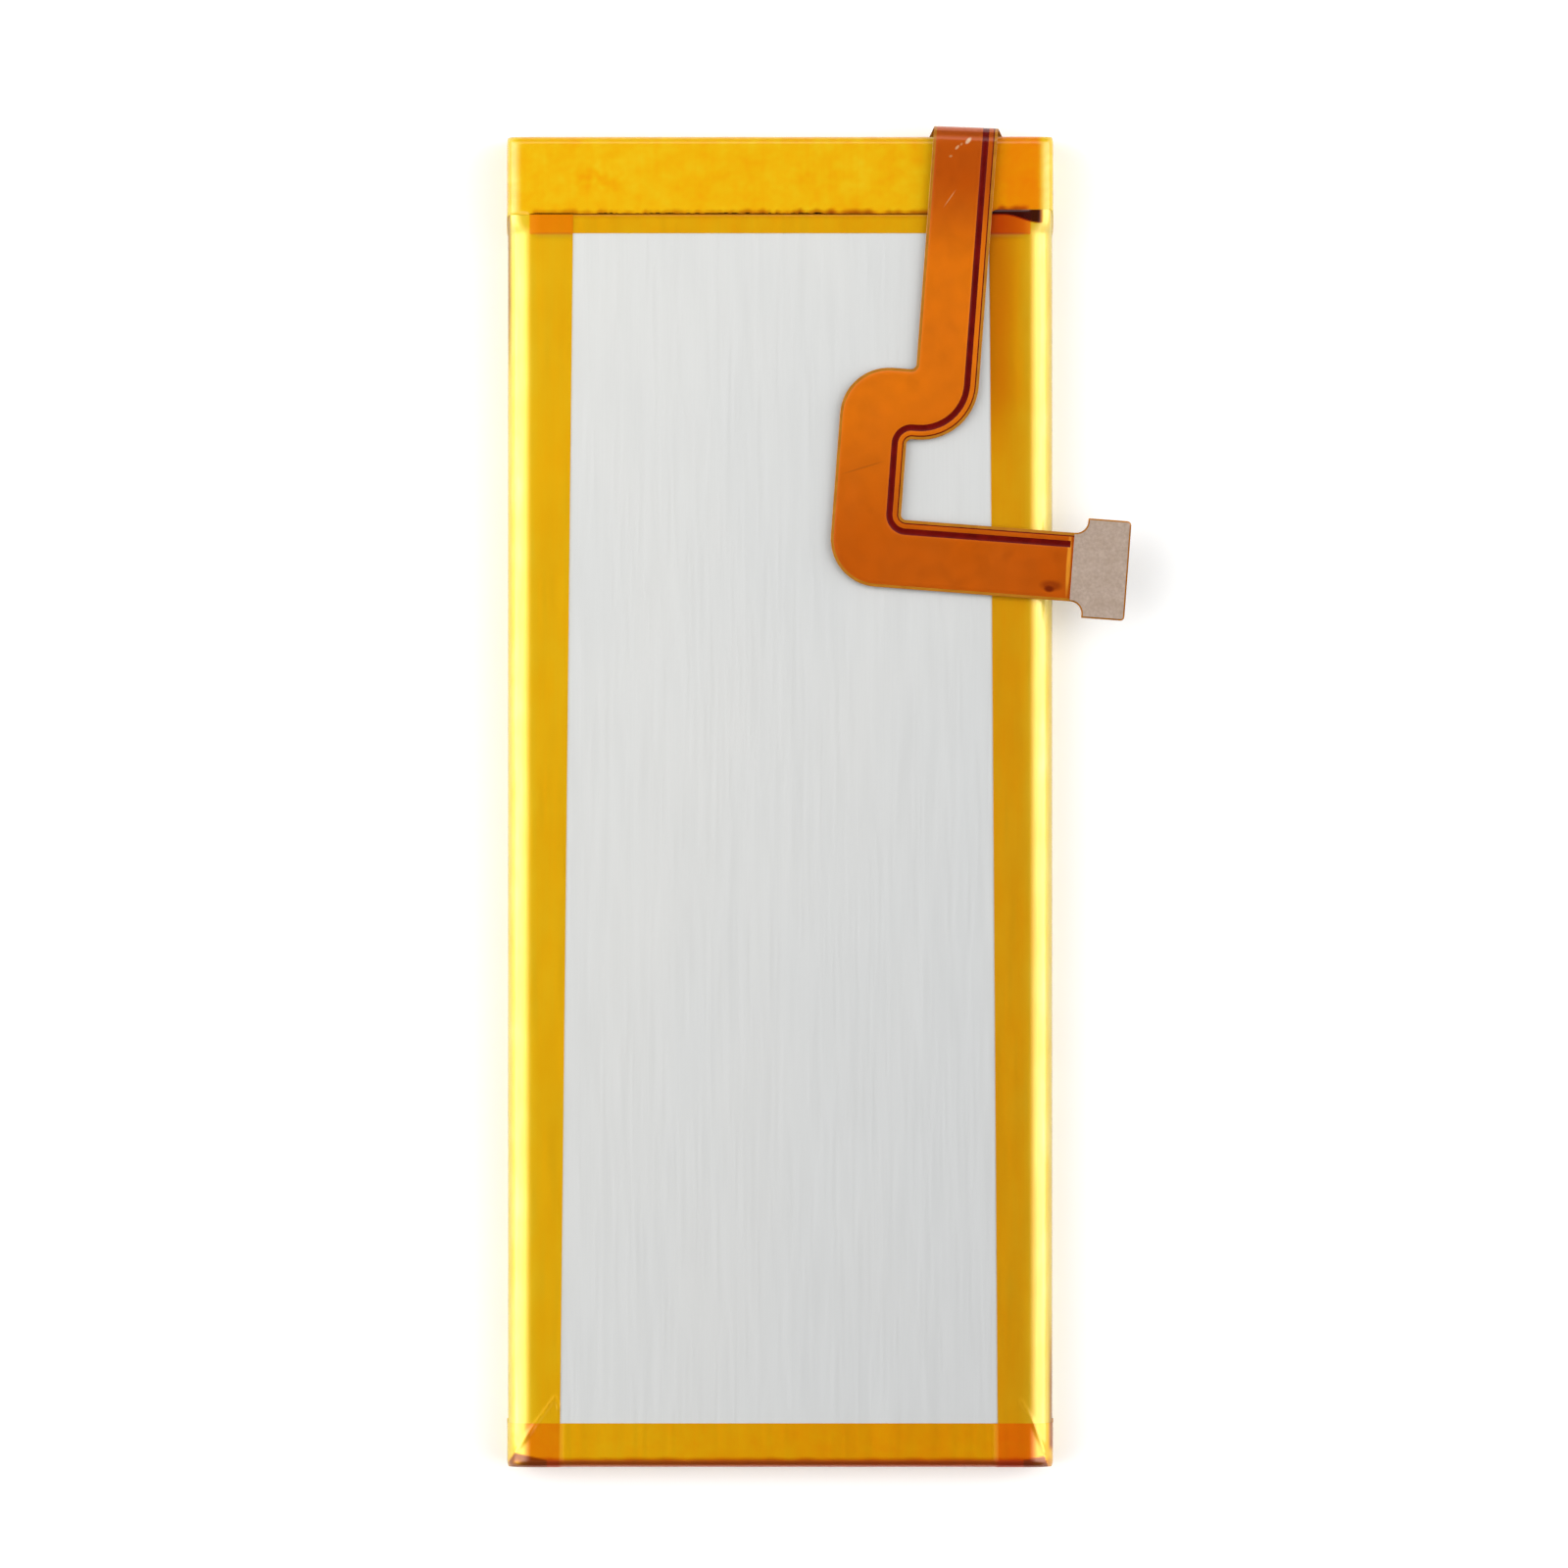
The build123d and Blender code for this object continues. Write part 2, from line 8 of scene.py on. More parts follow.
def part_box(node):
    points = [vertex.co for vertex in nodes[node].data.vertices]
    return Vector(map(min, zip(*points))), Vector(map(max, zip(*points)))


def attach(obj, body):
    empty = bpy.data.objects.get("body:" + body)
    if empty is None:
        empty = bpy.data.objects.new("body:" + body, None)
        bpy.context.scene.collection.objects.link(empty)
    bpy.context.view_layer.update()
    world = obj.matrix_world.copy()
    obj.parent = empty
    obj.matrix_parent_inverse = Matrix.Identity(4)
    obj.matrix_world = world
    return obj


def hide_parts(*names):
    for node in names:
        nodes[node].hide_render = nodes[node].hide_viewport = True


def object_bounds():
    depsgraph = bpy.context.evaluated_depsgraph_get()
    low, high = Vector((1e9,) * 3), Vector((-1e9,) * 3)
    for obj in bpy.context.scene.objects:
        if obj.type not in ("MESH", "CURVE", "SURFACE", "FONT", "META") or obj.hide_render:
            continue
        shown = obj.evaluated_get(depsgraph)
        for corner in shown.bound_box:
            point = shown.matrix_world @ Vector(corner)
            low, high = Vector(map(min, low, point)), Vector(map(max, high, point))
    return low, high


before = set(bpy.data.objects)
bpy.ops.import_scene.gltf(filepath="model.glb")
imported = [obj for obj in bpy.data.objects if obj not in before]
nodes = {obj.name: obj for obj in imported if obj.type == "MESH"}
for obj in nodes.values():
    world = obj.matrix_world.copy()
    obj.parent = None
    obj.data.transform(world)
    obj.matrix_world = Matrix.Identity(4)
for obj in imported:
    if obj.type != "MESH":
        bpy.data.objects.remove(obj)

cad_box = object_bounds()

# The pouch: sheet aluminium between plastic films, drawn into a cup and sealed flat at the head.
# Its outer film leaves a satin metal shine, with fine rolling lines along the sheet.
MM = 0.001
PACK_WIDTH = 41.0
PACK_LENGTH = 100.0
# How large the foil's rolling lines, flecks and clouds are in X, Y and Z, in millimetres.
ROLLING = (0.22, 7.0, 7.0)
FLECKS = (0.3, 0.9, 0.5)
CLOUDS = (9.0, 22.0, 9.0)
# Nearly all of a noise pattern lies between these two values.
NOISE_LOW = 0.3
NOISE_HIGH = 0.7


def colour(code):
    """Turns an sRGB hex code into linear red, green, blue and a full alpha."""
    parts = [int(code[i : i + 2], 16) / 255 for i in (1, 3, 5)]
    return [p / 12.92 if p <= 0.04045 else ((p + 0.055) / 1.055) ** 2.4 for p in parts] + [1.0]


def start_material(name):
    """A material with an empty tree."""
    material = bpy.data.materials.new(name)
    material.use_nodes = True
    material.node_tree.nodes.clear()
    return material


def add(owner, kind, inputs=None, **settings):
    """Adds a node with its settings. Each of its inputs is a value, or the socket that feeds it."""
    node = owner.node_tree.nodes.new("ShaderNode" + kind)
    for name, value in settings.items():
        setattr(node, name, value)
    for key, value in (inputs or {}).items():
        if isinstance(value, bpy.types.NodeSocket):
            owner.node_tree.links.new(value, node.inputs[key])
        else:
            node.inputs[key].default_value = value
    return node


def grain(material, size, low, high):
    """A cloudy pattern from low to high. Its grains have one size in millimetres, or one each way."""
    lengths = size if isinstance(size, tuple) else (size, size, size)
    place = add(material, "TexCoord").outputs["Object"]
    scale = [1 / (length * MM) for length in lengths]
    scaled = add(material, "VectorMath", {0: place, 1: scale}, operation="MULTIPLY")
    cloud = add(material, "TexNoise", {"Vector": scaled.outputs[0], "Scale": 1.0, "Detail": 2.0})
    spread = {"Value": cloud.outputs["Fac"], "From Min": NOISE_LOW, "From Max": NOISE_HIGH}
    return add(material, "MapRange", spread | {"To Min": low, "To Max": high}).outputs[0]


def slant(material, low, high):
    """Goes evenly from low at the head's left corner to high at the tail's right corner."""
    place = add(material, "TexCoord").outputs["Object"]
    line = (0.5 / PACK_WIDTH / MM, -0.5 / PACK_LENGTH / MM, 0)
    across = add(material, "VectorMath", {0: place, 1: line}, operation="DOT_PRODUCT")
    spread = {"Value": across.outputs["Value"], "From Min": -0.5, "From Max": 0.5}
    return add(material, "MapRange", spread | {"To Min": low, "To Max": high}).outputs[0]


def finish_material(material, tone, roughness, settings, bumps=None):
    """Ends a material with its surface. bumps holds their pattern, strength and millimetres of depth."""
    inputs = {"Base Color": tone, "Roughness": roughness}
    if bumps:
        relief = {"Height": bumps[0], "Strength": bumps[1], "Distance": bumps[2] * MM}
        inputs["Normal"] = add(material, "Bump", relief).outputs[0]
    surface = add(material, "BsdfPrincipled", inputs | settings)
    add(material, "OutputMaterial", {"Surface": surface.outputs[0]})


def dress(node, material):
    """Gives a node of the frame its finish."""
    nodes[node].data.materials.clear()
    nodes[node].data.materials.append(material)


# Satin aluminium laminate: the metal gives a cool grey shine, and the film over it softens it.
foil = start_material("satin_aluminium_laminate")
foil_tone = colour("#f4f4f0")
# The first mix is painted shade: it darkens the foil evenly towards the tail's right corner. The other two
# are the foil's own rolling lines and clouds.
for share, code in (
    (slant(foil, 0.0, 1.0), "#dadbdb"),
    (grain(foil, ROLLING, 0.0, 0.1), "#b9babb"),
    (grain(foil, CLOUDS, 0.0, 0.3), "#dcdfe0"),
):
    tones = {0: share, 6: foil_tone, 7: colour(code)}
    foil_tone = add(foil, "Mix", tones, data_type="RGBA").outputs[2]
foil_bumps = (grain(foil, FLECKS, 0.0, 1.0), 0.2, 0.004)
finish_material(foil, foil_tone, grain(foil, ROLLING, 0.44, 0.5), {"Metallic": 0.7}, foil_bumps)
dress("cell_pouch", foil)

# The terrace insulator: a strip of amber film, stuck on the sealed edge under the board's parts. It
# is the same film as the outer tapes, so a single film over foil gives it a gold tone.
CLEAR_COAT = {"Coat Weight": 1.0, "Coat Roughness": 0.14, "Coat IOR": 1.6}


def mottled(name, codes, size, rough, settings, relief=(0.2, 0.004), rough_size=None):
    """A material in two tones, mixed in grains of a size in millimetres.

    rough gives its least and most roughness, and relief its bumps' strength and their depth.
    """
    material = start_material(name)
    mottle = grain(material, size, 0.0, 1.0)
    tones = {0: mottle, 6: colour(codes[0]), 7: colour(codes[1])}
    tone = add(material, "Mix", tones, data_type="RGBA").outputs[2]
    roughness = grain(material, rough_size or size, rough[0], rough[1])
    finish_material(material, tone, roughness, settings, (mottle, *relief) if relief else None)
    return material


# One amber film on foil: an even gold, with a clear shine.
insulator_film = mottled(
    "amber_polyimide_film_insulator",
    ("#d89a10", "#e2a614"),
    2.0,
    (0.4, 0.5),
    {"Metallic": 0.5} | CLEAR_COAT,
    relief=None,
    rough_size=1.0,
)
dress("terrace_insulator", insulator_film)

# The tabs: a strip of aluminium and a strip of nickel from inside the cell, each through a film
# sleeve in the seal, folded over the board's edge and spot-welded to a nickel plate.
STRIP_LINES = (0.08, 1.2, 0.4)
STRIP_RELIEF = (0.3, 0.003)
METAL = {"Metallic": 1.0}
# Rolled aluminium strip: bright and cool, with fine lines.
aluminium_strip = mottled(
    "rolled_aluminium_strip", ("#d6d8da", "#e4e6e8"), STRIP_LINES, (0.28, 0.4), METAL, STRIP_RELIEF
)
# Nickel strip and plate: a warmer, darker grey than the aluminium.
nickel_strip = mottled(
    "rolled_nickel_strip", ("#b4ac9f", "#c6beb0"), STRIP_LINES, (0.25, 0.38), METAL, STRIP_RELIEF
)
# Polypropylene sealing film: milky, soft and a little rough where it was pressed.
sealing_film = mottled(
    "polypropylene_sealing_film",
    ("#cfcbbf", "#dedacf"),
    0.5,
    (0.4, 0.6),
    {"IOR": 1.49, "Subsurface Weight": 0.2, "Subsurface Radius": [0.3 * MM] * 3},
    relief=None,
    rough_size=0.3,
)
dress("positive_tab", aluminium_strip)
for node in ("negative_tab", "positive_weld_plate", "negative_weld_plate"):
    dress(node, nickel_strip)
for node in ("positive_tab_sealant", "negative_tab_sealant"):
    dress(node, sealing_film)

# The protection board: glass fibre laminate, etched and coated with solder resist, with the small
# parts soldered below it, which cut the cell off at too much charge, drain or heat.
WEAVE = 0.35
# Solder resist over glass fibre: dark green, smooth and shiny, with the weave just showing.
board_coat = mottled(
    "solder_resist_on_glass_fibre", ("#0e3b22", "#135030"), WEAVE, (0.25, 0.35), {"IOR": 1.55}
)
# Moulded epoxy: near black and matt, with a fine grit.
moulded_epoxy = mottled("moulded_epoxy", ("#151517", "#222225"), 0.06, (0.5, 0.65), {"IOR": 1.55})
# Fired ceramic: dull, fine-grained and dark grey.
fired_ceramic = mottled("fired_ceramic", ("#2c2a28", "#3a3734"), 0.08, (0.4, 0.55), {"IOR": 1.65})
# Solder, melted and set: bright and a little uneven.
set_solder = mottled("set_solder", ("#b4b6b8", "#cdcfd0"), 0.3, (0.15, 0.3), METAL)
dress("protection_board", board_coat)
for node in ("dual_mosfet", "protection_ic"):
    dress(node, moulded_epoxy)
chips = ("sense_resistor", "chip_fuse", "thermistor", "filter_capacitor", "filter_resistor", "id_resistor")
for node in chips:
    dress(node, fired_ceramic)
dress("flex_solder_joints", set_solder)

# The board's cover: a white moulding of insulating plastic that gives the head its block form. A
# strip of grey foam under its roof holds the board down.
cover_plastic = mottled("moulded_white_abs", ("#e6e5e0", "#eeede9"), 0.5, (0.35, 0.5), {"IOR": 1.54})
# Cut foam: grey and quite matt, with cells a quarter of a millimetre across.
cell_foam = mottled("closed_cell_foam", ("#4a4a4c", "#5c5c5e"), 0.25, (0.85, 0.95), {"IOR": 1.45})
dress("board_cover", cover_plastic)
dress("foam_pad", cell_foam)

# The edge tapes: two strips of amber polyimide film, each pressed round one long edge of the pack.
# They are laid a little askew, so their laps on the front taper from the head to the tail.
TAPE = 0.06
HALF_WIDTH = 20.5
END_ROUND = 0.5
# Each tape's lap on the front at the tail and at the head, and its laps on both faces together.
LEFT_LAP = (3.93, 5.01)
RIGHT_LAP = (4.13, 4.83)
LAPS = 9.2
# Places along the pack: the tail's end, the shoulder strip, the shoulder, and the head's two ends.
TAIL_Y = -49.94
STRIP_Y = 42.74
SHOULDER_Y = 44.14
HEAD_FRONT_Y = 44.55
HEAD_END_Y = 49.94
# The pack's section: how high its middle lies, half its thickness, half the width of its flat faces,
# the run round a long edge, and how far it is from the front's middle to the edge's end and the back's.
MIDDLE_Z = 1.85
CORE_HALF = 1.83
FLAT_HALF = 18.61
EDGE_RUN = math.pi * CORE_HALF
ARC_END = FLAT_HALF + EDGE_RUN
BACK_MIDDLE = ARC_END + FLAT_HALF
# How much squarer the head's edges are than the pouch's, and over what length they become so.
HEAD_SQUARENESS = 2.2
SQUARING_RUN = 1.6
# How much of the ends' round the sides follow.
CORNER_DROP = 0.25
# The film's slant down beside an edge tape, and where it climbs the shoulder strip and comes down.
DRAPE = 0.25
FILM_EDGE = 0.1
STEP_RUN = 0.15
STRIP_FADE = 0.6
HEAD_CLEARANCE = 0.02
# How long the creased part at the tail is, and how deep and long the film's sags are.
CREASED_RUN = 8.0
SAG = 0.004
SAG_LENGTHS = (2.2, 7.0)
FINER = 3.7
FOLD_ANGLE = math.radians(40)


def ramp(low, high, value):
    """Goes from 0 at low to 1 at high, with a soft start and end."""
    t = min(max((value - low) / (high - low), 0.0), 1.0)
    return t * t * (3 - 2 * t)


def on_pack(s, y, height):
    """A point at a height over the pouch's skin, on the pack's rounded form.

    s runs across the front from its middle line, on round the long edge and to the back's middle.
    The head is boxier than the pouch, so its section goes from a round to a rounded square.
    """
    side = 1 if s >= 0 else -1
    run = abs(s)
    turn = min(max(run - FLAT_HALF, 0) / CORE_HALF, math.pi)
    flat = min(run, FLAT_HALF, BACK_MIDDLE - min(run, BACK_MIDDLE))
    end_round = END_ROUND + height
    past = max(y - (HEAD_END_Y - END_ROUND), TAIL_Y + END_ROUND - y, 0.0)
    drop = end_round - math.sqrt(max(end_round**2 - min(past, end_round) ** 2, 0.0))
    squareness = 2 + HEAD_SQUARENESS * ramp(SHOULDER_Y - SQUARING_RUN, SHOULDER_Y, y)
    sine, cosine = math.sin(turn), math.cos(turn)
    stretch = (abs(sine) ** squareness + abs(cosine) ** squareness) ** (-1 / squareness)
    across = side * (flat + (CORE_HALF + height - CORNER_DROP * drop) * sine * stretch)
    return Vector((across, y, MIDDLE_Z + (CORE_HALF + height - drop) * cosine * stretch))


def new_object(name, data):
    """Puts a mesh or a camera into the scene as an object."""
    item = bpy.data.objects.new(name, data)
    bpy.context.scene.collection.objects.link(item)
    return item


def grid_mesh(name, rows, ring=False, keep=None, cap=False):
    """A mesh over rows of points in millimetres, as a new object.

    ring joins the ends of each row, cap closes the last row, and keep picks the faces that stay.
    """
    work = bmesh.new()
    verts = [[work.verts.new(point * MM) for point in row] for row in rows]
    for lower, upper in zip(verts, verts[1:]):
        for i in range(len(lower) if ring else len(lower) - 1):
            j = (i + 1) % len(lower)
            corners = (lower[i], lower[j], upper[j], upper[i])
            middle = sum((vert.co for vert in corners), Vector()) / 4 / MM
            if keep is None or keep(middle):
                work.faces.new(corners)
    if cap:
        work.faces.new(verts[-1])
    for vert in [vert for vert in work.verts if not vert.link_faces]:
        work.verts.remove(vert)
    bmesh.ops.recalc_face_normals(work, faces=work.faces)
    mesh = bpy.data.meshes.new(name)
    work.to_mesh(mesh)
    work.free()
    mesh.shade_smooth()
    return new_object(name, mesh)


def apply_modifiers(piece):
    """Makes the piece's modifiers part of its mesh."""
    graph = bpy.context.evaluated_depsgraph_get()
    finished = bpy.data.meshes.new_from_object(piece.evaluated_get(graph))
    piece.modifiers.clear()
    piece.data = finished


def keep_edges(piece):
    """Shades the rounds smooth, keeps the folds sharp, and keeps the many-sided end faces flat."""
    piece.data.set_sharp_from_angle(angle=FOLD_ANGLE)
    for face in piece.data.polygons:
        face.use_smooth = len(face.vertices) <= 4


def thicken(piece):
    """Gives a sheet the film's thickness, inwards."""
    solid = piece.modifiers.new("film", "SOLIDIFY")
    solid.thickness = TAPE * MM
    solid.offset = -1
    apply_modifiers(piece)
    keep_edges(piece)


def spaced(low, high, count):
    """Evenly spaced numbers from low to high, both included, with so many steps."""
    return [low + (high - low) * i / count for i in range(count + 1)]


def stretches(start, *ends):
    """Numbers from start on, evenly spaced to each end in turn. Each end comes with its steps."""
    places = [start]
    for end, steps in ends:
        places += spaced(places[-1], end, steps)[1:]
    return places


def lap_edges(laps, y):
    """The front and back edges of an edge tape at y, as distances across from the front's middle."""
    lap = laps[0] + (laps[1] - laps[0]) * (y / (2 * HEAD_END_Y) + 0.5)
    return HALF_WIDTH - lap, BACK_MIDDLE - (HALF_WIDTH - LAPS + lap)


def unevenness(s, y, seed):
    """The sag of a film laid by hand, from 0 down, with a finer one half as deep on top of it."""
    place = Vector((s / SAG_LENGTHS[0], y / SAG_LENGTHS[1], seed))
    return SAG * (noise.noise(place) - 1) + SAG / 2 * (noise.noise(place * FINER) - 1)


def stations(laps, y, middle_steps=60):
    """Where a tape's points lie across one side of the pack, each with 1 over an edge tape's film."""
    front, back = lap_edges(laps, y)
    ends = [(front - DRAPE, middle_steps), (front, 1), (FLAT_HALF, 18), (ARC_END, 44)]
    ends += [(back, 5), (back + DRAPE, 1), (BACK_MIDDLE, 12)]
    return [(s, int(front - DRAPE / 2 < s < back + DRAPE / 2)) for s in stretches(0, *ends)]


# Creases at the tail's corners: from place to place on the front, and how high they stand.
CREASES = [
    ((-19.95, -48.95), (-18.5, -46.9), 0.07),
    ((-18.5, -46.9), (-16.9, -44.7), 0.035),
    ((-16.9, -44.7), (-16.6, -45.6), 0.03),
    ((19.9, -48.9), (18.9, -46.4), 0.07),
    ((18.9, -46.4), (18.1, -45.0), 0.03),
]
CREASE_HALF = 0.13


def crease_height(s, y):
    """How far a crease lifts the film at a place on the front."""
    place = Vector((s, y))
    height = 0.0
    for start, end, rise in CREASES:
        line = Vector(end) - Vector(start)
        share = min(max((place - Vector(start)).dot(line) / line.length_squared, 0), 1)
        away = (place - Vector(start) - line * share).length
        height = max(height, rise * math.exp(-((away / CREASE_HALF) ** 2)))
    return height


def edge_strip(side, laps, seed):
    """An edge tape: rows along the pack, each from its front edge round to its back edge."""
    rows = []
    ends = [(TAIL_Y + END_ROUND, 8), (TAIL_Y + CREASED_RUN, 70), (STRIP_Y - STEP_RUN, 180), (STRIP_Y, 1)]
    ends += [(HEAD_FRONT_Y, 22), (HEAD_END_Y - END_ROUND, 8), (HEAD_END_Y, 8)]
    fall = HEAD_FRONT_Y - HEAD_CLEARANCE
    for y in stretches(TAIL_Y, *ends):
        climb = ramp(STRIP_Y - FILM_EDGE, STRIP_Y, y)
        climb *= 1 - ramp(fall - FILM_EDGE, fall, y)
        row = []
        for s in [s for s, over in stations(laps, y) if over]:
            over_shoulder = climb * (1 - ramp(FLAT_HALF - STRIP_FADE, FLAT_HALF + STRIP_FADE, s))
            height = TAPE * (1 + over_shoulder) + unevenness(s, y, seed) + crease_height(side * s, y)
            row.append(on_pack(side * s, y, height))
        rows.append(row)
    return rows


def in_front_of_head(middle):
    """The left tape leaves the head's front bare."""
    return middle.y < SHOULDER_Y or middle.z < MIDDLE_Z


def paint(piece, measure):
    """Keeps at each point of a piece the three values that measure gives there.

    On a tape they are how many films lie there, how white what they cover is, and the painted light there.
    """
    values = piece.data.attributes.new("film", "FLOAT_VECTOR", "POINT")
    for vertex, item in zip(piece.data.vertices, values.data):
        item.vector = measure(vertex.co / MM)


# How a tape looks from place to place. A value in FILMS says how many more films a place seems to have,
# and one in SHADE how much of its light it loses. X and Y values say from where to where. The film is
# thinner from stretching where the front turns down, and the paler film there also paints part of the
# highlight on the round. Other marks on it fade out at the side there.
STRETCH_HIGHLIGHT_X = (FLAT_HALF - 0.7, FLAT_HALF + 1.3)
STRETCH_HIGHLIGHT_FILMS = -0.6
SIDE_X = (18.2, 18.9)
# Two sizes of clouds from handling: how strong, how wide and how long.
HANDLING = ((0.22, 1.3, 1.0), (0.16, 0.45, 0.4))
# The pack's outermost line, darkened brown as painted shade on a part of each side.
RIM_X = (20.15, 20.4)
RIM_Z = (MIDDLE_Z - 0.2, MIDDLE_Z + 0.2)
LEFT_RIM_Y = (30.0, 38.0)
RIGHT_RIM_Y = (-38.0, -44.0)
RIM_FILMS = 0.8
RIM_SHADE = 0.5
# The right tape over the dark gap at the shoulder, which widens towards the side: the gap's darkness is
# painted on the film as shade.
GAP_FLARE = 0.6
FLARE_X = (16.8, 19.5)
GAP_END_X = (19.5, 19.75)
GAP_FILMS = 2.0
GAP_SHADE = 0.93
# The right tape beside the flex, darkened as the flex's painted shadow, and over the shoulder strip.
FLEX_SHADOW_X = (16.3, 18.4)
FLEX_SHADOW_Y = (24.0, 33.0)
FLEX_SHADOW_FILMS = 0.55
FLEX_SHADOW_SHADE = 0.16
ON_STRIP_FILMS = 0.3
ON_STRIP_SHADE = 0.12


def edge_films(point):
    """How many films an edge tape makes at a point: one more where it lies over the shoulder tape.

    Stretching round the pack's long edge makes the film thinner and paler, and the paler film also paints
    part of the edge's highlight.
    """
    over = ramp(STRIP_Y - FILM_EDGE, STRIP_Y, point.y)
    past = ramp(SHOULDER_Y, SHOULDER_Y + 2 * FILM_EDGE, point.y)
    in_front = 1.0 if point.z > MIDDLE_Z and abs(point.x) < FLAT_HALF + DRAPE else 0.0
    return 1 + over * (1 - past) * in_front + STRETCH_HIGHLIGHT_FILMS * ramp(*STRETCH_HIGHLIGHT_X, abs(point.x))


def handled(point, seed):
    """The slight clouding of a film from handling, more or less than nothing."""
    clouds = 0.0
    for strength, width, length in HANDLING:
        clouds += strength * noise.noise(Vector((point.x / width, point.y / length, seed)))
    return clouds


def rim(point, side, reach):
    """1 on a side's outermost line, where painted shade turns the film brown. It sets in over a reach of
    y.
    """
    outside = ramp(*RIM_X, side * point.x) * ramp(*RIM_Z, point.z)
    return outside * ramp(*reach, point.y)


def left_film(point):
    """The left tape lies on foil all along. Its outermost line is darkened brown near the head as painted
    shade.
    """
    brown = rim(point, -1, LEFT_RIM_Y)
    return (edge_films(point) + RIM_FILMS * brown, 0.0, 1 - RIM_SHADE * brown)


def right_film(point):
    """The right tape runs over the gap at the shoulder, whose darkness is painted on it as shade, and then
    on white plastic. Beside the flex it carries the flex's painted shadow.
    """
    soft = FILM_EDGE / 2
    gap_y = SHOULDER_Y - GAP_FLARE * ramp(*FLARE_X, point.x)
    gap = ramp(gap_y - soft, gap_y + soft, point.y)
    gap *= 1 - ramp(HEAD_FRONT_Y - soft, HEAD_FRONT_Y, point.y)
    gap *= 1 - ramp(*GAP_END_X, point.x)
    front = 1.0 if point.z > MIDDLE_Z else 0.0
    white = ramp(HEAD_FRONT_Y - soft, HEAD_FRONT_Y + soft, point.y)
    flex_shadow = (1 - ramp(*FLEX_SHADOW_X, point.x)) * ramp(*FLEX_SHADOW_Y, point.y)
    on_strip = ramp(STRIP_Y - FILM_EDGE, STRIP_Y, point.y) * (1 - white)
    on_strip *= 1 - ramp(*SIDE_X, point.x)
    brown = rim(point, 1, RIGHT_RIM_Y)
    more = GAP_FILMS * gap + FLEX_SHADOW_FILMS * flex_shadow + ON_STRIP_FILMS * on_strip
    light = (1 - GAP_SHADE * gap * front) * (1 - RIM_SHADE * brown)
    light *= 1 - (FLEX_SHADOW_SHADE * flex_shadow + ON_STRIP_SHADE * on_strip) * front
    return (edge_films(point) + more * front + RIM_FILMS * brown, white, light)


left_tape = grid_mesh("left_tape", edge_strip(-1, LEFT_LAP, seed=3.1), keep=in_front_of_head)
right_tape = grid_mesh("right_tape", edge_strip(1, RIGHT_LAP, seed=8.4))
for tape, film in ((left_tape, left_film), (right_tape, right_film)):
    thicken(tape)
    paint(tape, film)

# Polyimide film on foil: amber, clear and shiny. The foil's shine comes back through the film,
# which passes all red, about half the green and no blue, so each more film turns it browner.
BLUE_PASSED = 0.004
MOTTLE = (1.6, 4.0, 1.6)
FILM_WAVE = (2.5, 5.0, 2.5)


def film_material(name, foil_code, plastic_code, green_passed):
    """Amber film on what it covers, foil or white plastic, as the mesh's own marks say."""
    material = start_material(name)
    marks = add(material, "Attribute", attribute_name="film", attribute_type="GEOMETRY")
    films, white, lightness = add(material, "SeparateXYZ", {0: marks.outputs["Vector"]}).outputs
    clouds = {0: grain(material, MOTTLE, -0.07, 0.07), 1: grain(material, ROLLING, -0.03, 0.03)}
    uneven = add(material, "Math", clouds, operation="ADD").outputs[0]
    thickness = add(material, "Math", {0: films, 1: uneven}, operation="ADD").outputs[0]
    tint = add(material, "CombineXYZ", {0: 1.0})
    for index, passed in ((1, green_passed), (2, BLUE_PASSED)):
        share = add(material, "Math", {0: passed, 1: thickness}, operation="POWER")
        material.node_tree.links.new(share.outputs[0], tint.inputs[index])
    backing = {0: white, 6: colour(foil_code), 7: colour(plastic_code)}
    under = add(material, "Mix", backing, data_type="RGBA").outputs[2]
    seen = add(material, "VectorMath", {0: under, 1: tint.outputs[0]}, operation="MULTIPLY")
    # A painted shade dims the mesh's painted light further towards the tail's right corner.
    light = {0: lightness, 1: slant(material, 1.03, 0.85)}
    shine = add(material, "Math", light, operation="MULTIPLY").outputs[0]
    lit = add(material, "VectorMath", {0: seen.outputs[0], "Scale": shine}, operation="SCALE")
    metal = add(material, "MapRange", {"Value": white, "To Min": 0.7, "To Max": 0.1})
    wave = {"Height": grain(material, FILM_WAVE, 0.0, 1.0), "Strength": 0.2, "Distance": 0.02 * MM}
    relief = add(material, "Bump", wave).outputs[0]
    inputs = {
        "Base Color": lit.outputs[0],
        "Metallic": metal.outputs[0],
        "Roughness": grain(material, ROLLING, 0.42, 0.5),
        "Specular IOR Level": 0.0,
        "Normal": relief,
        "Coat Normal": relief,
    }
    surface = add(material, "BsdfPrincipled", inputs | CLEAR_COAT)
    add(material, "OutputMaterial", {"Surface": surface.outputs[0]})
    return material


left_amber = film_material("amber_polyimide_film_left", "#f4f4f4", "#ecebe6", 0.535)
right_amber = film_material("amber_polyimide_film_right", "#ebebeb", "#ecebe6", 0.46)


def stand_for(piece, node, materials):
    """Puts a finished piece in the place of a node of the frame."""
    for material in materials:
        piece.data.materials.append(material)
    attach(piece, "root")
    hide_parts(node)


stand_for(left_tape, "left_edge_tape", [left_amber])
stand_for(right_tape, "right_edge_tape", [right_amber])

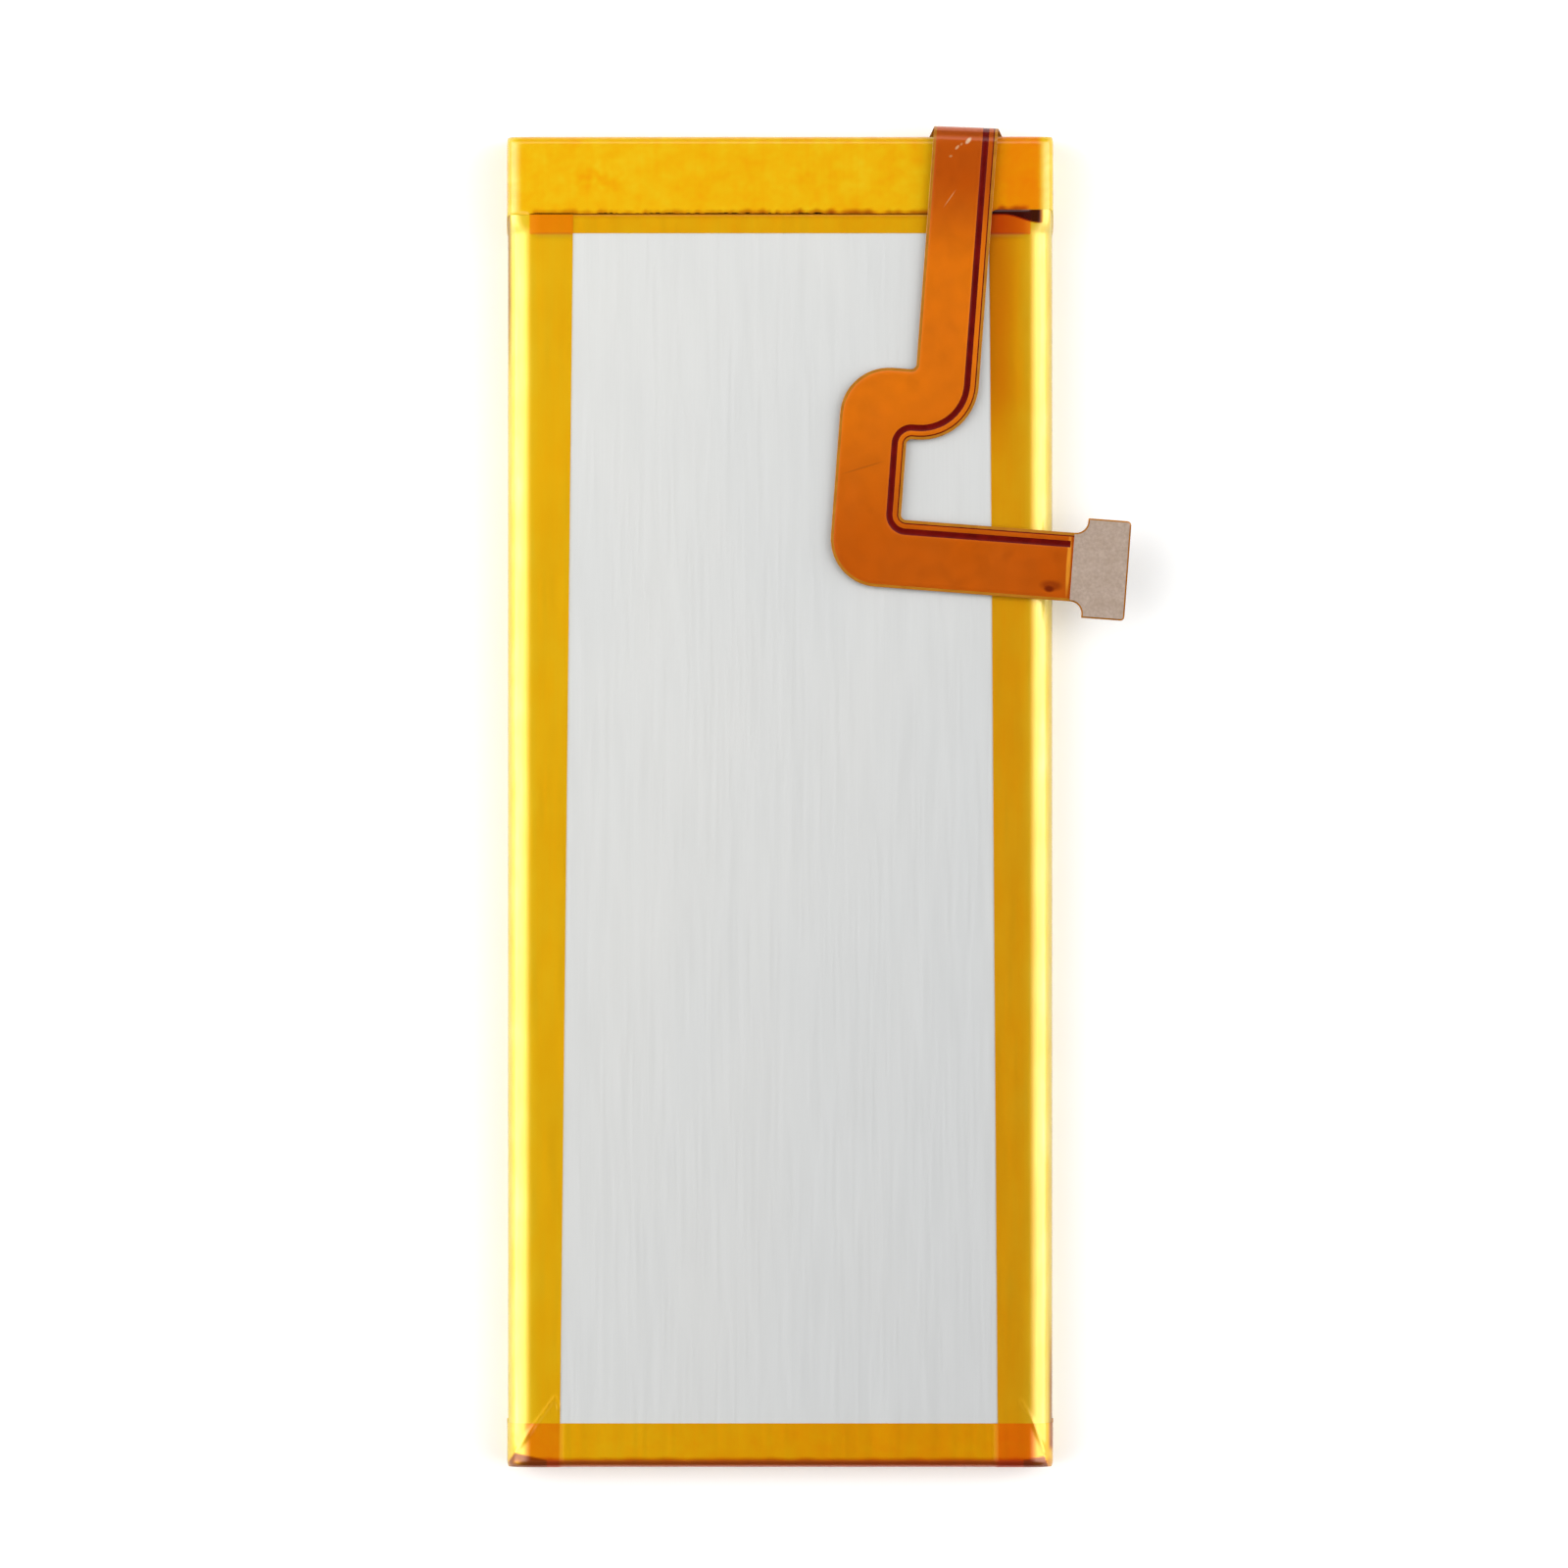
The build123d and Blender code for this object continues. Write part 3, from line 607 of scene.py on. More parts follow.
# The shoulder tape: a narrow strip of the same film, laid over the shoulder's edge and down its wall
# to the seal, so that the board can't touch the cup.
WALL_FOOT_Z = 0.45
SHOULDER_ROUND = 0.1
SHOULDER_BEND = SHOULDER_ROUND + TAPE
SHOULDER_TOP = MIDDLE_Z + CORE_HALF
ROUND_Y = SHOULDER_Y - SHOULDER_ROUND
ROUND_Z = SHOULDER_TOP - SHOULDER_ROUND
# How it looks in all, at its edge and down its wall.
STRIP_FILMS = 1.12
STRIP_LIGHT = 0.96
STRIP_CLOUDS = 0.4
EDGE_WIDTH = 0.45
EDGE_FILMS = 0.3
EDGE_SHADE = 0.12
WALL_FILMS = 0.6
WALL_SHADE = 0.23

shoulder_profile = [(y, SHOULDER_TOP + TAPE) for y in spaced(STRIP_Y, ROUND_Y, 9)]
for turn in spaced(0, math.pi / 2, 8)[1:]:
    y = ROUND_Y + SHOULDER_BEND * math.sin(turn)
    shoulder_profile.append((y, ROUND_Z + SHOULDER_BEND * math.cos(turn)))
shoulder_profile += [(SHOULDER_Y + TAPE, z) for z in spaced(ROUND_Z, WALL_FOOT_Z, 6)[1:]]
shoulder_strip = grid_mesh(
    "shoulder_strip",
    [[Vector((x, y, z)) for x in spaced(-FLAT_HALF, FLAT_HALF, 90)] for y, z in shoulder_profile],
)
thicken(shoulder_strip)


def shoulder_film(point):
    """The strip is one film on foil, and is darkened as painted shade at its edge and as it goes down into
    the gap.
    """
    wall = ramp(SHOULDER_TOP, ROUND_Z, point.z)
    edge = ramp(SHOULDER_Y - EDGE_WIDTH, SHOULDER_Y, point.y)
    films = STRIP_FILMS + STRIP_CLOUDS * handled(point, seed=6.1) + EDGE_FILMS * edge + WALL_FILMS * wall
    return (films, 0.0, STRIP_LIGHT - EDGE_SHADE * edge - WALL_SHADE * wall)


paint(shoulder_strip, shoulder_film)
stand_for(shoulder_strip, "shoulder_tape", [left_amber])

# The tail tape: one strip folded over the tail end like a cap, on top of the edge tapes. It is
# pressed down by hand, which leaves folded corners.
TAIL_FRONT_Y = -46.69
TAIL_BACK_Y = -46.4


def cap_loop(y, height_over, middle_steps=60, place=lambda s, y: y):
    """A loop of points round the pack at y. height_over gives the film's height at each place."""
    left = stations(LEFT_LAP, y, middle_steps)
    sides = stations(RIGHT_LAP, y, middle_steps) + [(-s, over) for s, over in left[-2:0:-1]]
    return [on_pack(s, place(s, y), height_over(s, over, place(s, y))) for s, over in sides]


def over_edge_tapes(s, over, y):
    """The tail tape's height: one film more where it lies on an edge tape."""
    return TAPE * (1 + over) + unevenness(s, y, seed=5.7) + crease_height(s, y)


def round_end(y, way):
    """Places along a cap's rounded end, which starts at y and goes one way along the pack."""
    return [y + way * (END_ROUND + TAPE) * math.sin(turn) for turn in spaced(0, math.pi / 2, 10)[1:]]


tail_places = stretches(TAIL_BACK_Y, (TAIL_FRONT_Y, 2), (TAIL_Y + END_ROUND, 24))
tail_places += round_end(TAIL_Y + END_ROUND, -1)
tail_cap = grid_mesh(
    "tail_cap",
    [cap_loop(y, over_edge_tapes) for y in tail_places],
    ring=True,
    keep=lambda middle: middle.y < TAIL_FRONT_Y or middle.z < MIDDLE_Z,
    cap=True,
)
thicken(tail_cap)

# How close a point of the mesh lies to the pack's flat end face, and how that face looks: a little darker,
# as painted shade.
ON_END = 0.003
TAIL_END_LOOK = (1.4, 0.0, 0.9)
# The tape's folds at the tail's corners stand like dark roofs: folded film, darkened further as painted
# shade. Each one's foot, peak and inner end.
FOLDS = [
    ((-20.6, -49.95), (-19.95, -48.95), (-17.5, -49.45)),
    ((20.15, -49.95), (19.85, -49.2), (18.3, -49.45)),
]
FOLD_FILMS = 1.0
FOLD_SHADE = 0.68
FOLD_SOFT = (0.1, -0.06)
# The left fold's painted shade has a pale spot: its place, half its width, half its length and its
# strength.
PALE_SPOT = ((-19.75, -49.65), 0.28, 0.16)
PALE_SHARE = 0.8
# The right side's outermost line on the tail tape, darkened as painted shade: where it sets in, and its
# share.
TAIL_RIM_Y = (-48.9, -48.3)
TAIL_RIM_SHARE = 0.75
# The film over the edge tapes seems thinner at the left, and fades out round the sides.
OVER_X = (-18.0, 18.0)
OVER_LEFT = 0.82
OVER_FADE_X = (18.7, 19.4)
# The film all over, which darkens towards the right as painted shade, and is paler round the sides from
# stretching, which also paints part of the highlight.
TAIL_FILMS = 0.12
TAIL_RIGHT_X = (-14.0, 12.0)
TAIL_RIGHT_FILMS = 0.35
TAIL_CLOUDS = 0.5
TAIL_STRETCH_HIGHLIGHT_X = (18.7, 19.7)
# The band where the tape turns down over the end, browner from more film and darkened as painted shade:
# its edge, how that waves, and how it looks.
BAND_Y = TAIL_Y + 0.3
BAND_WAVE = 0.08
BAND_SOFT = 0.5
BAND_FADE_X = (18.9, 19.5)
BAND_FADE = 0.7
BAND_FILMS = 1.6
BAND_SHADE = 0.47
NEAR_FRONT_Z = (MIDDLE_Z, MIDDLE_Z + 1.2)


def tape_over(point):
    """1 where an edge tape lies under a point of the pack's front or back."""
    front, back = lap_edges(LEFT_LAP if point.x < 0 else RIGHT_LAP, point.y)
    edge = front if point.z > MIDDLE_Z else BACK_MIDDLE - back
    return ramp(edge - FILM_EDGE / 2, edge + FILM_EDGE / 2, abs(point.x))


def wobble(x, length, seed):
    """A soft random value from about -1 to 1, which changes over a length across the pack."""
    return noise.noise(Vector((x / length, 0, seed)))


def spot(point, centre, half_width, half_length):
    """1 at the centre of a soft round spot, and 0 away from it."""
    across = (point.x - centre[0]) / half_width
    lengthwise = (point.y - centre[1]) / half_length
    return math.exp(-(across**2) - lengthwise**2)


def fold_top(x):
    """How far up a fold reaches at a place across the tail. Between the folds it is the tail's end."""
    for foot, peak, end in FOLDS:
        if min(foot[0], end[0]) <= x <= max(foot[0], end[0]):
            near = foot if abs(x) > abs(peak[0]) else end
            return near[1] + (x - near[0]) / (peak[0] - near[0]) * (peak[1] - near[1])
    return TAIL_Y - END_ROUND


def tail_film(point):
    """The tail tape lies on foil, and on the edge tapes at its sides. Its end turns down, away. Painted
    shade darkens it towards the right, along that end, in the corner folds and on the right rim.
    """
    if point.y < TAIL_Y - TAPE + ON_END:
        return TAIL_END_LOOK
    out = abs(point.x)
    films = tape_over(point) * (1 - ramp(*OVER_FADE_X, out))
    films *= OVER_LEFT + (1 - OVER_LEFT) * ramp(*OVER_X, point.x)
    films += TAIL_RIGHT_FILMS * ramp(*TAIL_RIGHT_X, point.x)
    films += 1 + TAIL_FILMS + TAIL_CLOUDS * handled(point, seed=1.9)
    near_front = ramp(*NEAR_FRONT_Z, point.z)
    band_y = BAND_Y + BAND_WAVE * wobble(point.x, 1.3, seed=9.2)
    band = near_front * ramp(band_y + BAND_SOFT, band_y, point.y)
    band *= 1 - BAND_FADE * ramp(*BAND_FADE_X, out)
    top = fold_top(point.x)
    fold = near_front * ramp(top + FOLD_SOFT[0], top + FOLD_SOFT[1], point.y)
    fold *= 1 - PALE_SHARE * spot(point, *PALE_SPOT)
    dark = max(fold, TAIL_RIM_SHARE * rim(point, 1, TAIL_RIM_Y))
    films += STRETCH_HIGHLIGHT_FILMS * ramp(*TAIL_STRETCH_HIGHLIGHT_X, out) * (1 - max(band, dark))
    films += BAND_FILMS * band * (1 - dark) + FOLD_FILMS * dark
    return (films, 0.0, (1 - BAND_SHADE * band * (1 - dark)) * (1 - FOLD_SHADE * dark))


paint(tail_cap, tail_film)
stand_for(tail_cap, "tail_tape", [left_amber])

# The head tape: wider film wrapped over the board's cover, slit for the flex. It was torn off over a
# blade with teeth, which shows along its front edge.
HEAD_BACK_Y = 41.94
FREE_GAP = HEAD_FRONT_Y - SHOULDER_Y - TAPE
WHOLE_GAP = HEAD_FRONT_Y - SHOULDER_Y
# How far the tape's edge reaches over the gap, where it is plain and where it has teeth.
LIP = 0.36
TOOTHED_LIP = 0.32
TEETH_FROM = -14.4
TEETH_TO = 4.0
# The teeth: their pitch and how it drifts, their depth, and how much of it is left from place to place.
TOOTH_PITCH = 0.62
PITCH_DRIFT = 0.9
TOOTH_DEPTH = 0.14
TOOTH_LEFT = 0.55
TOOTH_LEFT_CHANGE = 0.9
LEAST_TOOTH = 0.1
# The waves of the edge, each with its height and length, and the gap that stays open below it.
LIP_WAVES = ((0.07, 1.9), (0.04, 0.6))
OPEN_GAP = 0.015
# Where the edge steps back at the left, ends at the right tape, and closes the gap at the left side.
STEP_X = (15.0, 16.0)
STEP_BACK = 0.04
LIP_END_X = (15.5, 16.5)
CLOSED_X = (18.4, 19.0)


def over_head(s, over, y):
    """The head tape's height: on the left it lies straight on the cover in front."""
    if s < 0 and -s < FLAT_HALF + EDGE_RUN / 2 and y > SHOULDER_Y:
        over = 0
    return TAPE * (1 + over) + unevenness(s, y, seed=2.2)


def lip(x):
    """How far the tape's front edge reaches over the gap. The blade's teeth show in the middle."""
    toothed = ramp(TEETH_FROM, TEETH_FROM + 1, x) * (1 - ramp(TEETH_TO - 1, TEETH_TO, x))
    place = x / TOOTH_PITCH + PITCH_DRIFT * wobble(x, 1.6, seed=4.4)
    left = TOOTH_LEFT + TOOTH_LEFT_CHANGE * wobble(x, 1.1, seed=7.9)
    tooth = 0.5 * math.sin(2 * math.pi * place) * min(max(left, LEAST_TOOTH), 1.0)
    reach = LIP + (TOOTHED_LIP - LIP + tooth * TOOTH_DEPTH) * toothed
    reach += sum(height * wobble(x, length, seed=3.3) for height, length in LIP_WAVES)
    reach = min(reach, FREE_GAP - OPEN_GAP) - STEP_BACK * ramp(*STEP_X, -x)
    reach *= 1 - ramp(*LIP_END_X, x)
    return reach + (WHOLE_GAP - reach) * ramp(*CLOSED_X, -x)


def head_tape_y(s, y):
    """Moves a place on the head tape along the head, so that the tape starts at its slanted edge."""
    top = HEAD_END_Y - END_ROUND
    quarter = EDGE_RUN / 4
    round_side = ramp(FLAT_HALF + quarter, FLAT_HALF + 3 * quarter, abs(s))
    start = (HEAD_FRONT_Y - lip(s)) * (1 - round_side) + HEAD_BACK_Y * round_side
    return y if y > top else start + (y - HEAD_BACK_Y) / (top - HEAD_BACK_Y) * (top - start)


head_places = spaced(HEAD_BACK_Y, HEAD_END_Y - END_ROUND, 34) + round_end(HEAD_END_Y - END_ROUND, 1)
head_cap = grid_mesh(
    "head_cap",
    [cap_loop(y, over_head, 120, head_tape_y) for y in head_places],
    ring=True,
    cap=True,
)
thicken(head_cap)

# The slit in the head's end that the flex comes out of: its two corners.
SLIT_LOW = (11.0, 48.6, 1.88)
SLIT_HIGH = (16.8, 51.0, 2.44)


def cut_slit(piece, low, high):
    """Cuts away what lies between two corners, given in millimetres."""
    work = bmesh.new()
    bmesh.ops.create_cube(work, size=1)
    for vert in work.verts:
        vert.co = [(low[i] if vert.co[i] < 0 else high[i]) * MM for i in range(3)]
    cutter_mesh = bpy.data.meshes.new("slit")
    work.to_mesh(cutter_mesh)
    work.free()
    cutter = new_object("slit", cutter_mesh)
    slit = piece.modifiers.new("slit", "BOOLEAN")
    slit.operation = "DIFFERENCE"
    slit.solver = "EXACT"
    slit.object = cutter
    apply_modifiers(piece)
    bpy.data.objects.remove(cutter)
    keep_edges(piece)


cut_slit(head_cap, SLIT_LOW, SLIT_HIGH)

# How the head tape looks in all, on its end face, and round the sides, where stretching makes it paler and
# also paints part of the highlight.
HEAD_END_LOOK = (1.1, 1.0, 1.0)
HEAD_FILMS = 1.05
HEAD_OVER_X = (19.3, 19.8)
HEAD_STRETCH_HIGHLIGHT_X = (19.2, 19.9)
HEAD_STRETCH_HIGHLIGHT_FILMS = -0.35
# A smudge at the left: its place, half its width and length, and how it strengthens the clouds.
SMUDGE = ((-14.0, 46.8), 1.5, 0.7)
SMUDGE_FILMS = 0.25
SMUDGE_CLOUDS = 2.2
# The brown band of painted shade along the lip, where the gap lies below it: its width, how that changes,
# its share at the left and right.
LIP_SHADE_WIDTH = 0.36
LIP_SHADE_WAVE = 0.25
LIP_SHADE_RIGHT_X = (-9.0, 1.0)
LIP_SHADE_LEFT = 0.8
LIP_SHADE_RIGHT_MORE = 0.5
LIP_SHADE_PATCHES = 0.9
LIP_SHADE_FILMS = 0.8
LIP_SHADE_DARKNESS = 0.33


def head_film(point):
    """The head tape lies on white plastic in front, and over the right edge tape at the right."""
    if point.y > HEAD_END_Y + TAPE - ON_END:
        return HEAD_END_LOOK
    out = abs(point.x)
    in_front = point.z > MIDDLE_Z
    over = 0.0 if in_front and point.x < 0 else tape_over(point)
    over *= 1 - ramp(*HEAD_OVER_X, out)
    white = 1.0 if in_front else ramp(HEAD_FRONT_Y - FILM_EDGE, HEAD_FRONT_Y, point.y)
    smudge = spot(point, *SMUDGE)
    clouds = (1 + SMUDGE_CLOUDS * smudge) * handled(point, seed=4.7) + SMUDGE_FILMS * smudge
    stretched_highlight = HEAD_STRETCH_HIGHLIGHT_FILMS * ramp(*HEAD_STRETCH_HIGHLIGHT_X, out)
    # In front, painted shade from the gap below darkens a brown band along the lip.
    lip_shade = 0.0
    if in_front:
        lip_shade_change = wobble(point.x, 0.6, seed=6.6)
        lip_shade = ramp(LIP_SHADE_WIDTH + LIP_SHADE_WAVE * lip_shade_change, 0.0, point.y - HEAD_FRONT_Y + lip(point.x))
        lip_shade *= (1 - ramp(*SIDE_X, out)) * (1 + LIP_SHADE_PATCHES * lip_shade_change)
        lip_shade *= LIP_SHADE_LEFT + LIP_SHADE_RIGHT_MORE * ramp(*LIP_SHADE_RIGHT_X, point.x)
    return (HEAD_FILMS + over + clouds + stretched_highlight + LIP_SHADE_FILMS * lip_shade, white, 1 - LIP_SHADE_DARKNESS * lip_shade)


paint(head_cap, head_film)
head_amber = film_material("amber_polyimide_film_head", "#ededed", "#ecebe6", 0.56)
stand_for(head_cap, "head_tape", [head_amber])

# The flex circuit: one polyimide film with two copper pours under an amber cover film. Its root is
# soldered to the board, it leaves by the head's end, bends over and runs down the front to its plug.
FLEX_FILM = 0.12
POUR_RISE = 0.012
POUR_TOP = FLEX_FILM + POUR_RISE
FLEX_BORDER = 0.25
# The gap between the two pours, measured from the right side, and how wide a pour's sloped edge is.
POUR_GAP_FROM = 0.67
POUR_GAP_TO = 1.09
SLOPE = 0.03
CHAMFER = 0.02
HALF_RUN = 2.4
HALF_ROOT = 2.78
ROOT_LENGTH = 3.0
FLEX_X = 13.9
BEND_Y = 49.6
BEND_Z = 3.135
BEND_RADIUS = 1.075
BEND_RUN = math.pi * BEND_RADIUS
BEND_SETBACK = 0.4
LEAST_CORNER = 0.03
FLEX_TURN = math.radians(4.3)
# Each corner of the flex's two sides: its place, its radius, the way that it moves when the line is
# set in from the edge, and whether its radius grows or shrinks then.
LEFT_CORNERS = [
    ((-2.4, -17.35), 0.4, (1, -1), 1),
    ((-7.85, -17.35), 3.7, (1, -1), -1),
    ((-7.85, -33.85), 3.6, (1, 1), -1),
    ((11.35, -33.85), 0.9, (1, 1), 1),
    ((11.35, -35.015), 0.03, (1, 1), 0),
    ((14.6, -35.015), 0.3, (-1, 1), 0),
]
RIGHT_CORNERS = [
    ((2.4, -22.6), 4.35, (-1, 1), -1),
    ((-2.7, -22.6), 0.4, (-1, 1), 1),
    ((-2.7, -28.68), 0.4, (-1, -1), 1),
    ((11.35, -28.68), 0.9, (1, -1), 1),
    ((11.35, -27.515), 0.03, (1, -1), 0),
    ((14.6, -27.515), 0.3, (-1, -1), 0),
]
# The steps of the straight run before each corner, and those round the corner. The pours end with
# the fourth straight run, where the flex widens to the plug's pad.
STRAIGHT_STEPS = (50, 4, 30, 44, 3, 8)
ROUND_STEPS = (14, 14, 14, 6, 2, 3)
POUR_ROWS = sum(STRAIGHT_STEPS[:4]) + sum(ROUND_STEPS[:3])
FLEX_END = LEFT_CORNERS[-1][0][0]
# The wave of the flex over the pack: its height, its lengths across and along, and where it ends.
WAVE_HEIGHT = 0.05
WAVE_SINK = 0.2
WAVE_LENGTHS = (3.5, 6.0)
WAVE_START = (0, -4)
WAVE_END = (6, 10)


def side_line(corners, inset):
    """Points along one side of the flat flex, from the bend to its end, set in from its edge."""
    side = 1 if corners[0][0][0] > 0 else -1
    last = Vector((side * (HALF_RUN - inset), 0))
    places = [last]
    places += [Vector((x + way[0] * inset, y + way[1] * inset)) for (x, y), _, way, _ in corners]
    points = [last]
    for number, (_, radius, _, growth) in enumerate(corners):
        corner = places[number + 1]
        coming = (corner - places[number]).normalized()
        going = Vector((0, -side))
        if number < len(corners) - 1:
            going = (places[number + 2] - corner).normalized()
        bend = max(radius + growth * inset, LEAST_CORNER)
        entry = corner - coming * bend
        for part in spaced(0, 1, STRAIGHT_STEPS[number])[1:]:
            points.append(last.lerp(entry, part))
        centre = entry + going * bend
        for turn in spaced(0, math.pi / 2, ROUND_STEPS[number])[1:]:
            points.append(centre - going * bend * math.cos(turn) + coming * bend * math.sin(turn))
        last = points[-1]
    return points


def flex_wave(u, v):
    """The flex's slight rise and fall over the pack. The stiffened end is flat."""
    fade = ramp(*WAVE_START, v) * (1 - ramp(*WAVE_END, u))
    place = Vector((u / WAVE_LENGTHS[0], v / WAVE_LENGTHS[1], 1.3))
    return WAVE_HEIGHT * fade * (noise.noise(place) - WAVE_SINK)


def flex_place(u, v, height):
    """Where a point of the flat-cut flex lies: on the front face, round the bend or on the board."""
    half_turn = FLEX_TURN / 2
    along = u * math.cos(half_turn) + v * math.sin(half_turn)
    past = v * math.cos(half_turn) - u * math.sin(half_turn)
    centre = v * math.sin(half_turn)
    radius = BEND_RADIUS - FLEX_FILM / 2 + height
    if past <= 0:
        out, up = past, BEND_Z + radius + flex_wave(u, v)
    elif past < BEND_RUN:
        angle = past / BEND_RADIUS
        out, up = radius * math.sin(angle), BEND_Z + radius * math.cos(angle)
        if angle > math.pi / 2:
            reach = BEND_RADIUS + FLEX_FILM / 2
            share = min(max((reach - out) / (reach - BEND_SETBACK), 0.0), 1.0)
            along = centre + (along - centre) * (1 + (HALF_ROOT / HALF_RUN - 1) * share)
    else:
        out, up = BEND_RUN - past, BEND_Z - radius
        along = centre + (along - centre) * HALF_ROOT / HALF_RUN
    x = along * math.cos(half_turn) + out * math.sin(half_turn)
    y = out * math.cos(half_turn) - along * math.sin(half_turn)
    return Vector((FLEX_X + x, BEND_Y + y, up))


left_columns = []
for inset, height in (
    (0.0, FLEX_FILM - CHAMFER),
    (CHAMFER, FLEX_FILM),
    (FLEX_BORDER - SLOPE, FLEX_FILM),
    (FLEX_BORDER + SLOPE, POUR_TOP),
):
    left_columns.append((side_line(LEFT_CORNERS, inset), height))
right_columns = []
for inset, height in (
    (POUR_GAP_TO + SLOPE, POUR_TOP),
    (POUR_GAP_TO - SLOPE, FLEX_FILM),
    (POUR_GAP_FROM + SLOPE, FLEX_FILM),
    (POUR_GAP_FROM - SLOPE, POUR_TOP),
    (FLEX_BORDER + 2 * SLOPE, POUR_TOP),
    (FLEX_BORDER - SLOPE, FLEX_FILM),
    (CHAMFER, FLEX_FILM),
    (0.0, FLEX_FILM - CHAMFER),
):
    right_columns.append((side_line(RIGHT_CORNERS, inset), height))
wide_left = left_columns[-1][0]
wide_right = right_columns[0][0]
pour_columns = []
for share in spaced(0, 1, 16)[1:-1]:
    line = [low.lerp(high, share) for low, high in zip(wide_left, wide_right)]
    pour_columns.append((line, POUR_TOP))
flex_columns = left_columns + pour_columns + right_columns

flex_rows = []
for past in stretches(BEND_RUN + ROOT_LENGTH, (BEND_RUN, 4), (0, 40))[:-1]:
    row = [flex_place(line[0].x, past, height) for line, height in flex_columns]
    row += [flex_place(u, past, 0) for u in (HALF_RUN, -HALF_RUN)]
    flex_rows.append(row)
pours_end = len(flex_rows) + POUR_ROWS
for number in range(len(wide_left)):
    ends = number == len(wide_left) - 1
    row = []
    for line, height in flex_columns + [(flex_columns[-1][0], 0), (flex_columns[0][0], 0)]:
        if number > POUR_ROWS:
            height = min(height, FLEX_FILM)
        row.append(flex_place(FLEX_END if ends else line[number].x, line[number].y, height))
    flex_rows.append(row)
flex_strip = grid_mesh("flex_strip", flex_rows, ring=True, cap=True)
keep_edges(flex_strip)

# Where the copper is darkened as painted shade, and how much.
BEND_DARK_Y = (39.5, 47.5)
BEND_DARK = 0.95
ARM_DARK_Y = (32.0, 18.0)
ARM_DARK = 0.75
END_DARK_X = (14.0, 21.0)
END_DARK_Y = (30.0, 20.0)
END_DARK = 0.08


def flex_shade(point):
    """How dark the copper looks as painted shade: at the bend, and again along the arm."""
    dark = BEND_DARK * ramp(*BEND_DARK_Y, point.y) + ARM_DARK * ramp(*ARM_DARK_Y, point.y)
    dark += END_DARK * ramp(*END_DARK_X, point.x) * ramp(*END_DARK_Y, point.y)
    return (min(1.0, dark), 0.0, 0.0)


paint(flex_strip, flex_shade)


def mark(material, centre, half_length, half_width, turn):
    """1 in a soft oblong on the front, with so many millimetres and turned by so many degrees."""
    place = add(material, "TexCoord").outputs["Object"]
    oblong = {
        "Vector": place,
        "Location": (centre[0] * MM, centre[1] * MM, 0),
        "Rotation": (0, 0, math.radians(turn)),
        "Scale": (half_length * MM, half_width * MM, 1),
    }
    away = add(material, "Mapping", oblong, vector_type="TEXTURE").outputs[0]
    reach = add(material, "VectorMath", {0: away}, operation="LENGTH").outputs["Value"]
    fade = {"Value": reach, "From Min": 1.0, "From Max": 0.5, "To Min": 0.0, "To Max": 1.0}
    return add(material, "MapRange", fade).outputs[0]


# Scuffs at the bend and a scratch below them, then painted light: a highlight along a crease in the jog,
# the painted shade of a dent before the plug, and a highlight line at the flex's right end. Each one's
# place, half its length, half its width, its turn and its tone.
MARKS_AND_PAINTED_LIGHT = [
    ((14.14, 49.66), 0.36, 0.18, 50, "#e6bc98"),
    ((13.62, 49.4), 0.16, 0.1, 60, "#cf8450"),
    ((13.3, 49.16), 0.26, 0.12, 50, "#dca070"),
    ((12.81, 48.5), 0.16, 0.11, 20, "#cc8850"),
    ((12.74, 45.32), 0.9, 0.05, 55, "#d08c58"),
    ((6.19, 25.1), 1.9, 0.08, 17, "#c4610f"),
    ((20.35, 16.25), 1.0, 0.5, -4, "#a34004"),
    ((20.2, 16.0), 0.45, 0.3, -4, "#7c2602"),
    ((21.66, 17.9), 2.8, 0.2, 86, "#f59a2a"),
]
COVER_COAT = {"Specular IOR Level": 0.0, "Coat Weight": 1.0, "Coat Roughness": 0.15, "Coat IOR": 1.55}
# Copper under an amber cover film: the copper's shine comes through orange. Where there is no copper
# the film is olive at the border, and maroon in the gap between the pours.
copper = start_material("copper_under_cover_film")
shade = add(copper, "Attribute", attribute_name="film", attribute_type="GEOMETRY")
dark = add(copper, "SeparateXYZ", {0: shade.outputs["Vector"]})
# The first layer mixes in the darker copper as the mesh's painted shade; the second is the copper's own
# clouding.
copper_layers = [(dark.outputs[0], "#bf4f03"), (grain(copper, (2.5, 4.0, 2.5), 0.0, 0.22), "#c86418")]
for centre, half_length, half_width, turn, code in MARKS_AND_PAINTED_LIGHT:
    copper_layers.append((mark(copper, centre, half_length, half_width, turn), code))
copper_tone = colour("#ea790a")
for share, code in copper_layers:
    tones = {0: share, 6: copper_tone, 7: colour(code)}
    copper_tone = add(copper, "Mix", tones, data_type="RGBA").outputs[2]
copper_bumps = (grain(copper, 0.4, 0.0, 1.0), 0.2, 0.01)
copper_roughness = grain(copper, 1.0, 0.4, 0.5)
finish_material(copper, copper_tone, copper_roughness, {"Metallic": 0.6} | COVER_COAT, copper_bumps)
